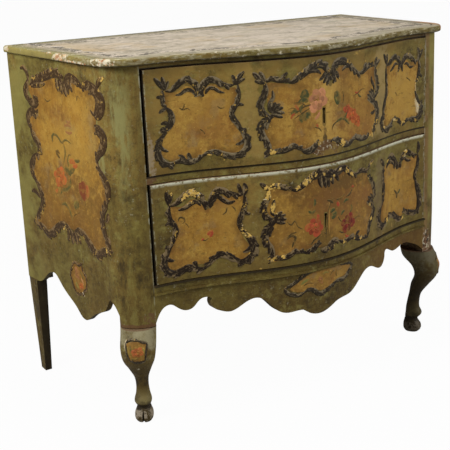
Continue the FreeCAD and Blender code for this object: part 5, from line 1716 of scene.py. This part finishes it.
def top_mesh(sizes):
    """The top: its edge profile carried round the plan, then rings that shrink to the middle.

    The profile goes from the underside round the nose, over the rim and through the groove.
    """
    low, high = sizes.lower_round / MM, sizes.upper_round / MM
    inset, wide = sizes.groove_inset / MM, sizes.groove_width / MM
    deep, drop = sizes.groove_depth / MM, sizes.field_drop / MM
    turn = np.linspace(0, np.pi / 2, ROUND_STEPS)
    profile = [(low * (1 - math.sin(a)), CASE_TOP + low * (1 - math.cos(a))) for a in turn]
    profile += [(high * (1 - math.cos(a)), TOP - high * (1 - math.sin(a))) for a in turn]
    profile += [(inset - 6, TOP), (inset - 0.6, TOP - 0.1), (inset, TOP - deep * 0.6)]
    profile += [(inset + wide / 2, TOP - deep), (inset + wide, TOP - drop - deep * 0.4)]
    profile += [(inset + wide + 0.8, TOP - drop), (inset + wide + 6, TOP - drop)]
    profile = np.array(profile)
    line, inward = top_path()
    plan = line + inward * profile[:, :1, None]
    back = np.linspace(plan[:, -1], plan[:, 0], BACK_STEPS, axis=1)[:, 1:-1]
    plan = np.concatenate([plan, back], 1)
    edge = np.concatenate([plan, profile[:, 1:, None] + 0 * plan[..., :1]], -1)
    shrink = np.linspace(1, 0, FIELD_RINGS)[1:-1, None, None]
    inner = TOP_MIDDLE + (plan[-1] - TOP_MIDDLE) * shrink
    flat = np.concatenate([inner, np.full((*inner.shape[:2], 1), TOP - drop)], -1)
    rings = np.concatenate([edge, flat])
    distance = edge_distance(rings[..., :2].reshape(-1, 2), np.concatenate([line, line[:1]]))
    grid = (distance * MM).reshape(rings.shape[:2])
    relief = Relief()
    relief.add_capped(rings, (*TOP_MIDDLE, CASE_TOP), (*TOP_MIDDLE, TOP - drop), inset=grid)
    return relief


def border_surface(level):
    """The top's border, by the length run round its edge and the distance in from it."""
    line, inward = top_path()
    run = np.append(0, np.cumsum(np.linalg.norm(np.diff(line, axis=0), axis=1)))

    def surface(along, inset):
        x, y = (
            np.interp(along, run, line[:, k]) + inset * np.interp(along, run, inward[:, k])
            for k in (0, 1)
        )
        return np.stack([x, y, level + 0 * x], -1)

    return surface, run[-1]


def flat_surface(level):
    """The top's flat, by x and y."""
    return lambda x, y: np.stack([x, y, np.full_like(x, level)], -1)


def repeat_strokes(relief, surface, strokes, starts, pitch, height):
    """Lays the strokes of a border at each start, their lengths being shares of the pitch."""
    for start in starts:
        for row in strokes:
            cut, points = read_row(row)
            stroke(relief, surface, cut, points * (pitch, 1) + start, height, BORDER_BASE)


# ---------------------------------------------------------------- legs
def leg_points(turn, z, sign):
    """A front leg's surface: at each height a superellipse, longest outwards, from its stations."""
    z = np.asarray(z, float)
    reaches = through(z / LEG_TOP, LEG_STATIONS[:, 0], LEG_STATIONS[:, 1:])
    inner, outer, half = np.moveaxis(reaches, -1, 0)
    c, s = (np.sign(f) * np.abs(f) ** (2 / LEG_SQUARENESS) for f in (np.cos(turn), np.sin(turn)))
    out = LEG_RADIUS * ((inner + outer) / 2 + (outer - inner) / 2 * c)
    wide = LEG_RADIUS * half * s
    x = LEG_FOOT[0] - math.cos(LEG_TURN) * out - math.sin(LEG_TURN) * wide
    y = LEG_FOOT[1] - math.sin(LEG_TURN) * out + math.cos(LEG_TURN) * wide
    return np.stack([-sign * x, y, z + 0 * x], -1)


def leg_mesh(sizes, sign):
    """A front leg: its surface with a cleft between the toes and a ring cut over the hoof.

    The cleft is a Gaussian across the leg that fades out upwards, and the ring one up the leg.
    """
    t = np.linspace(0, 2 * np.pi, LEG_STEPS, endpoint=False)
    turn = t - LEG_CROWDING * np.sin(2 * t)
    hoof = np.linspace(0, HOOF_FINE, HOOF_RINGS)
    z = np.append(hoof, np.linspace(HOOF_FINE, LEG_TOP, SHANK_RINGS)[1:])[:, None]
    points = leg_points(turn + 0 * z, z + 0 * turn, sign)
    half = through(z / LEG_TOP, LEG_STATIONS[:, 0], LEG_STATIONS[:, 3]) * LEG_RADIUS
    wide = half * np.sign(np.sin(turn)) * np.abs(np.sin(turn)) ** (2 / LEG_SQUARENESS)
    fade = np.clip((sizes.cleft_height / MM - z) / CLEFT_FADE, 0, 1)
    notch = np.exp(-((wide / (sizes.cleft_width / MM)) ** 2)) * (np.cos(turn) > 0) * fade
    ring = np.exp(-(((z - BAND_HEIGHT) / BAND_WIDTH) ** 2)) + 0 * turn
    axis = np.array([-sign * LEG_FOOT[0], LEG_FOOT[1]])
    outward = np.array([sign * math.cos(LEG_TURN), -math.sin(LEG_TURN)])
    points[..., :2] -= outward * (notch * sizes.cleft_depth / MM)[..., None]
    away = points[..., :2] - axis
    away /= np.linalg.norm(away, axis=-1, keepdims=True)
    points[..., :2] -= away * (ring * sizes.band_depth / MM)[..., None]
    relief = Relief()
    relief.add_capped(points, points[0].mean(0), points[-1].mean(0), cleft=notch)
    return relief


# ---------------------------------------------------------------- operators
class CHEST_OT_finishes(bpy.types.Operator):
    """Gives every CAD node that stays its finish."""

    bl_idname = "chest.finishes"
    bl_label = "Finish the Case"

    def execute(self, context):
        paints = context.scene.chest_paints
        posts = case_finish(paints, "post_paint", BRUSH_Z, post_marks, browner=0.12)
        sides = case_finish(paints, "side_paint", BRUSH_SIDE, side_marks)
        rails = case_finish(paints, "rail_paint", BRUSH_X, rail_marks, browner=0.22, outward=False)
        apron = case_finish(paints, "apron_paint", BRUSH_X, apron_marks, browner=0.42, outward=False)
        rear = case_finish(paints, "rear_leg_paint", BRUSH_Z, rear_leg_marks, browner=0.2)
        across = wood_finish(paints, "pine_across", ALONG_X)
        deep = wood_finish(paints, "pine_deep", ALONG_Y)
        iron = iron_finish(paints)
        chosen = {"front_apron": apron, "back_nails": iron}
        chosen.update(dict.fromkeys(RAILS, rails))
        chosen.update(dict.fromkeys(ACROSS_BOARDS, across))
        for side in ("left", "right"):
            chosen[side + "_corner_post"] = posts
            chosen[side + "_side_panel"] = sides
            chosen[side + "_rear_leg"] = rear
            chosen.update({side + strip: deep for strip in DRAWER_STRIPS})
        for part, tone in (("lower", 0.12), ("middle", 0), ("upper", 0.2)):
            name = part + "_back_board"
            heights = [corner[2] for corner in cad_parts[name].bound_box]
            chosen[name] = back_finish(paints, name, min(heights), max(heights), tone)
        for place, (low, high, pale) in DRAWERS.items():
            front = drawer_finish(paints, place + "_drawer_paint", low, high, pale)
            chosen[place + "_drawer_front"] = front
            chosen.update({f"{place}_drawer_{part}": deep for part in ("left_side", "right_side")})
            chosen.update({f"{place}_drawer_{part}": across for part in ("back", "bottom")})
            chosen.update({f"{place}_lock_{part}": iron for part in ("case", "screws", "bolt")})
        for name, material in chosen.items():
            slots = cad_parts[name].data.materials
            slots.clear()
            slots.append(material)
        return {"FINISHED"}


class CHEST_OT_top(bpy.types.Operator):
    """Makes the top board with its nose, groove and faded scroll border."""

    bl_idname = "chest.top"
    bl_label = "Make the Top"

    def execute(self, context):
        scene = context.scene
        sizes, paints = scene.chest_top, scene.chest_paints
        top_mesh(sizes).build("painted_top", top_finish(paints), "carcass", "top_paint", ["top_board"])
        level = TOP - sizes.field_drop / MM
        height = scene.chest_ornament.top_relief / MM * 0.5
        surface, total = border_surface(level)
        count = int(total * MM / sizes.scroll_pitch)
        pitch = total / (count + 0.1)
        inset = sizes.scroll_inset / MM
        steps = np.arange(count)
        wander = inset + BORDER_WANDER * np.sin(2.4 * steps)
        round_edge = np.stack([(steps + BORDER_START) * pitch, wander], 1)
        along_back = [(k * pitch + BACK_BORDER_LEFT, 0) for k in range(int(BACK_BORDER_LENGTH / pitch))]
        border = Relief()
        repeat_strokes(border, chart(surface, -1), EDGE_STROKES, round_edge, pitch, height)
        repeat_strokes(border, chart(flat_surface(level)), BACK_STROKES, along_back, pitch, height)
        colours = paints.top_scroll, paints.top_grey, paints.top_cream
        faded = scroll_finish(paints, "top_scroll_paint", *colours, wear=0.46)
        border.build("top_border", faded, "carcass", "top_paint")
        return {"FINISHED"}


class CHEST_OT_drawer_ornament(bpy.types.Operator):
    """Puts the three framed panels on each drawer front."""

    bl_idname = "chest.drawer_ornament"
    bl_label = "Decorate the Drawers"

    def execute(self, context):
        paints = context.scene.chest_paints
        flower = flower_finish(paints, wear=0)
        upper = paints.scroll, paints.scroll_light, paints.ochre_light, 0.07
        lower = paints.lower_scroll, paints.lower_light, paints.ochre_light, 0.04
        sets = {
            "upper": (UPPER_DESIGN, UPPER_STAINS, -0.20, 0.1, upper),
            "lower": (LOWER_DESIGN, LOWER_STAINS, 0.1, 0.25, lower),
        }
        for place, (design, stains, browner, warm, scroll_paint) in sets.items():
            ground = panel_finish(paints, place + "_panel_paint", stains, browner, warm)
            scroll = scroll_finish(paints, place + "_scroll_paint", *scroll_paint)
            drawer = place + "_drawer"
            ornament(drawer, DRAWER_FACE, design, (ground, scroll, flower), drawer, "drawer_paint")
        return {"FINISHED"}


class CHEST_OT_side_ornament(bpy.types.Operator):
    """Puts the tall framed panel and the small shield on each side."""

    bl_idname = "chest.side_ornament"
    bl_label = "Decorate the Sides"

    def execute(self, context):
        paints = context.scene.chest_paints
        colours = paints.side_scroll, paints.side_light, paints.ochre_light
        finishes = (
            panel_finish(paints, "side_panel_paint", SIDE_STAINS, browner=0.05, warm=0.45),
            scroll_finish(paints, "side_scroll_paint", *colours, wear=0.14),
            flower_finish(paints, wear=0.2),
        )
        for side, sign in SIDES:
            face = chart(side_surface(sign), -sign)
            ornament(side + "_side", face, SIDE_DESIGN, finishes, "carcass", "case_paint")
        return {"FINISHED"}


class CHEST_OT_apron_ornament(bpy.types.Operator):
    """Puts the small leaf-shaped panel on the apron."""

    bl_idname = "chest.apron_ornament"
    bl_label = "Decorate the Apron"

    def execute(self, context):
        paints = context.scene.chest_paints
        colours = paints.scroll, paints.scroll_light, paints.ochre
        finishes = (
            panel_finish(paints, "apron_panel_paint", browner=0.1),
            scroll_finish(paints, "apron_scroll_paint", *colours, wear=0.03),
            flower_finish(paints, wear=0.15),
        )
        ornament("apron", APRON_FACE, APRON_DESIGN, finishes, "carcass", "case_paint")
        return {"FINISHED"}


class CHEST_OT_front_legs(bpy.types.Operator):
    """Carves the two front legs with cloven hooves, and paints the shields on their knees."""

    bl_idname = "chest.front_legs"
    bl_label = "Carve the Front Legs"

    def execute(self, context):
        scene = context.scene
        sizes, paints = scene.chest_legs, scene.chest_paints
        carved = leg_finish(paints)
        colours = paints.scroll, paints.scroll_light, paints.ochre
        finishes = (
            panel_finish(paints, "knee_panel_paint", KNEE_STAINS, browner=0.4),
            scroll_finish(paints, "knee_scroll_paint", *colours, wear=0.04),
            flower_finish(paints, wear=0.25),
        )
        for side, sign in SIDES:
            leg = leg_mesh(sizes, sign)
            leg.build(side + "_carved_leg", carved, "carcass", "leg_paint", [side + "_front_leg"])
            face = aside(chart(leg_surface(sign), -sign), KNEE_ASIDE[side])
            ornament(side + "_knee", face, KNEE_DESIGN, finishes, "carcass", "leg_paint")
        return {"FINISHED"}


def camera_rays(tree):
    """1 for what the camera sees directly, 0 for light that bounces."""
    return Shade(tree, tree.nodes.new("ShaderNodeLightPath").outputs["Is Camera Ray"])


class CHEST_OT_stage(bpy.types.Operator):
    """Sets the floor, the soft lamps and the camera."""

    bl_idname = "chest.stage"
    bl_label = "Set the Stage"

    def execute(self, context):
        scene = context.scene
        stage = scene.chest_stage
        corners = (-1, -1), (1, -1), (1, 1), (-1, 1)
        mesh = bpy.data.meshes.new("floor")
        places = [(FLOOR_REACH * x, FLOOR_REACH * y, 0) for x, y in corners]
        mesh.from_pydata(places, [], [(0, 1, 2, 3)])
        floor = bpy.data.objects.new("floor", mesh)
        scene.collection.objects.link(floor)
        mesh.materials.append(self.floor_finish(stage))
        for lamp, place, size in LAMPS:
            self.light(scene, lamp + "_lamp", getattr(stage, lamp), place, size)
        world = bpy.data.worlds.new("even_light")
        world.use_nodes = True
        sky = world.node_tree.nodes["Background"]
        sky.inputs["Color"].default_value = (1, 1, 1, 1)
        tree = world.node_tree
        seen = camera_rays(tree)
        tree.links.new((seen * (1 - stage.sky) + stage.sky).socket, sky.inputs["Strength"])
        scene.world = world
        self.camera(scene, stage)
        scene.view_settings.view_transform = "Standard"
        return {"FINISHED"}

    def floor_finish(self, stage):
        """Pale matt floor that the camera sees as nearly white, with the object's shadow kept."""
        material, shader, _, _ = new_finish("pale_floor")
        shader.inputs["Base Color"].default_value = (*stage.floor, 1)
        shader.inputs["Roughness"].default_value = 0.9
        tree = material.node_tree
        seen = camera_rays(tree)
        white = seen.node("ShaderNodeEmission", None, {"Color": (1, 1, 1, 1), "Strength": 1})
        sockets = {0: seen * 0.97, 1: Shade(tree, shader.outputs[0]), 2: white}
        glow = seen.node("ShaderNodeMixShader", None, sockets)
        tree.links.new(glow.socket, tree.nodes["Material Output"].inputs["Surface"])
        return material

    def light(self, scene, name, power, place, size):
        lamp = bpy.data.lights.new(name, "AREA")
        lamp.energy = power
        lamp.size = size
        made = bpy.data.objects.new(name, lamp)
        made.location = place
        aim = Vector(LAMP_AIM) - Vector(place)
        made.rotation_euler = aim.to_track_quat("-Z", "Y").to_euler()
        scene.collection.objects.link(made)

    def camera(self, scene, stage):
        """A camera turned by yaw and pitch, then rolled about its own line of sight."""
        yaw, pitch, roll = stage.turns
        level = Vector((math.cos(yaw), -math.sin(yaw), 0))
        forward = Vector((math.sin(yaw), math.cos(yaw), 0))
        ahead = math.cos(pitch) * forward - Vector((0, 0, math.sin(pitch)))
        up = level.cross(ahead)
        right = math.cos(roll) * level + math.sin(roll) * up
        top = -math.sin(roll) * level + math.cos(roll) * up
        camera = bpy.data.cameras.new("camera")
        camera.lens = stage.lens
        camera.sensor_width = 36
        camera.clip_end = 200
        made = bpy.data.objects.new("camera", camera)
        turned = Matrix((right, top, -ahead)).transposed().to_4x4()
        made.matrix_world = Matrix.Translation(stage.eye) @ turned
        scene.collection.objects.link(made)
        scene.camera = made


class CHEST_PT_panel(bpy.types.Panel):
    """Lists the chest's operators in the sidebar."""

    bl_idname = "CHEST_PT_panel"
    bl_label = "Painted Chest"
    bl_space_type = "VIEW_3D"
    bl_region_type = "UI"
    bl_category = "Chest"

    def draw(self, context):
        for step in OPERATORS:
            self.layout.operator(step.bl_idname)


GROUPS = {
    "chest_paints": ChestPaints,
    "chest_ornament": ChestOrnament,
    "chest_top": ChestTop,
    "chest_legs": ChestLegs,
    "chest_stage": ChestStage,
}
OPERATORS = (
    CHEST_OT_finishes,
    CHEST_OT_top,
    CHEST_OT_drawer_ornament,
    CHEST_OT_side_ornament,
    CHEST_OT_apron_ornament,
    CHEST_OT_front_legs,
    CHEST_OT_stage,
)


def register():
    for kind in (*GROUPS.values(), *OPERATORS, CHEST_PT_panel):
        bpy.utils.register_class(kind)
    for name, group in GROUPS.items():
        setattr(bpy.types.Scene, name, bpy.props.PointerProperty(type=group))


def unregister():
    for name in GROUPS:
        delattr(bpy.types.Scene, name)
    for kind in (CHEST_PT_panel, *OPERATORS[::-1], *GROUPS.values()):
        bpy.utils.unregister_class(kind)


def main():
    register()
    for step in OPERATORS:
        part, action = step.bl_idname.split(".")
        getattr(getattr(bpy.ops, part), action)()


if __name__ == "__main__":
    main()
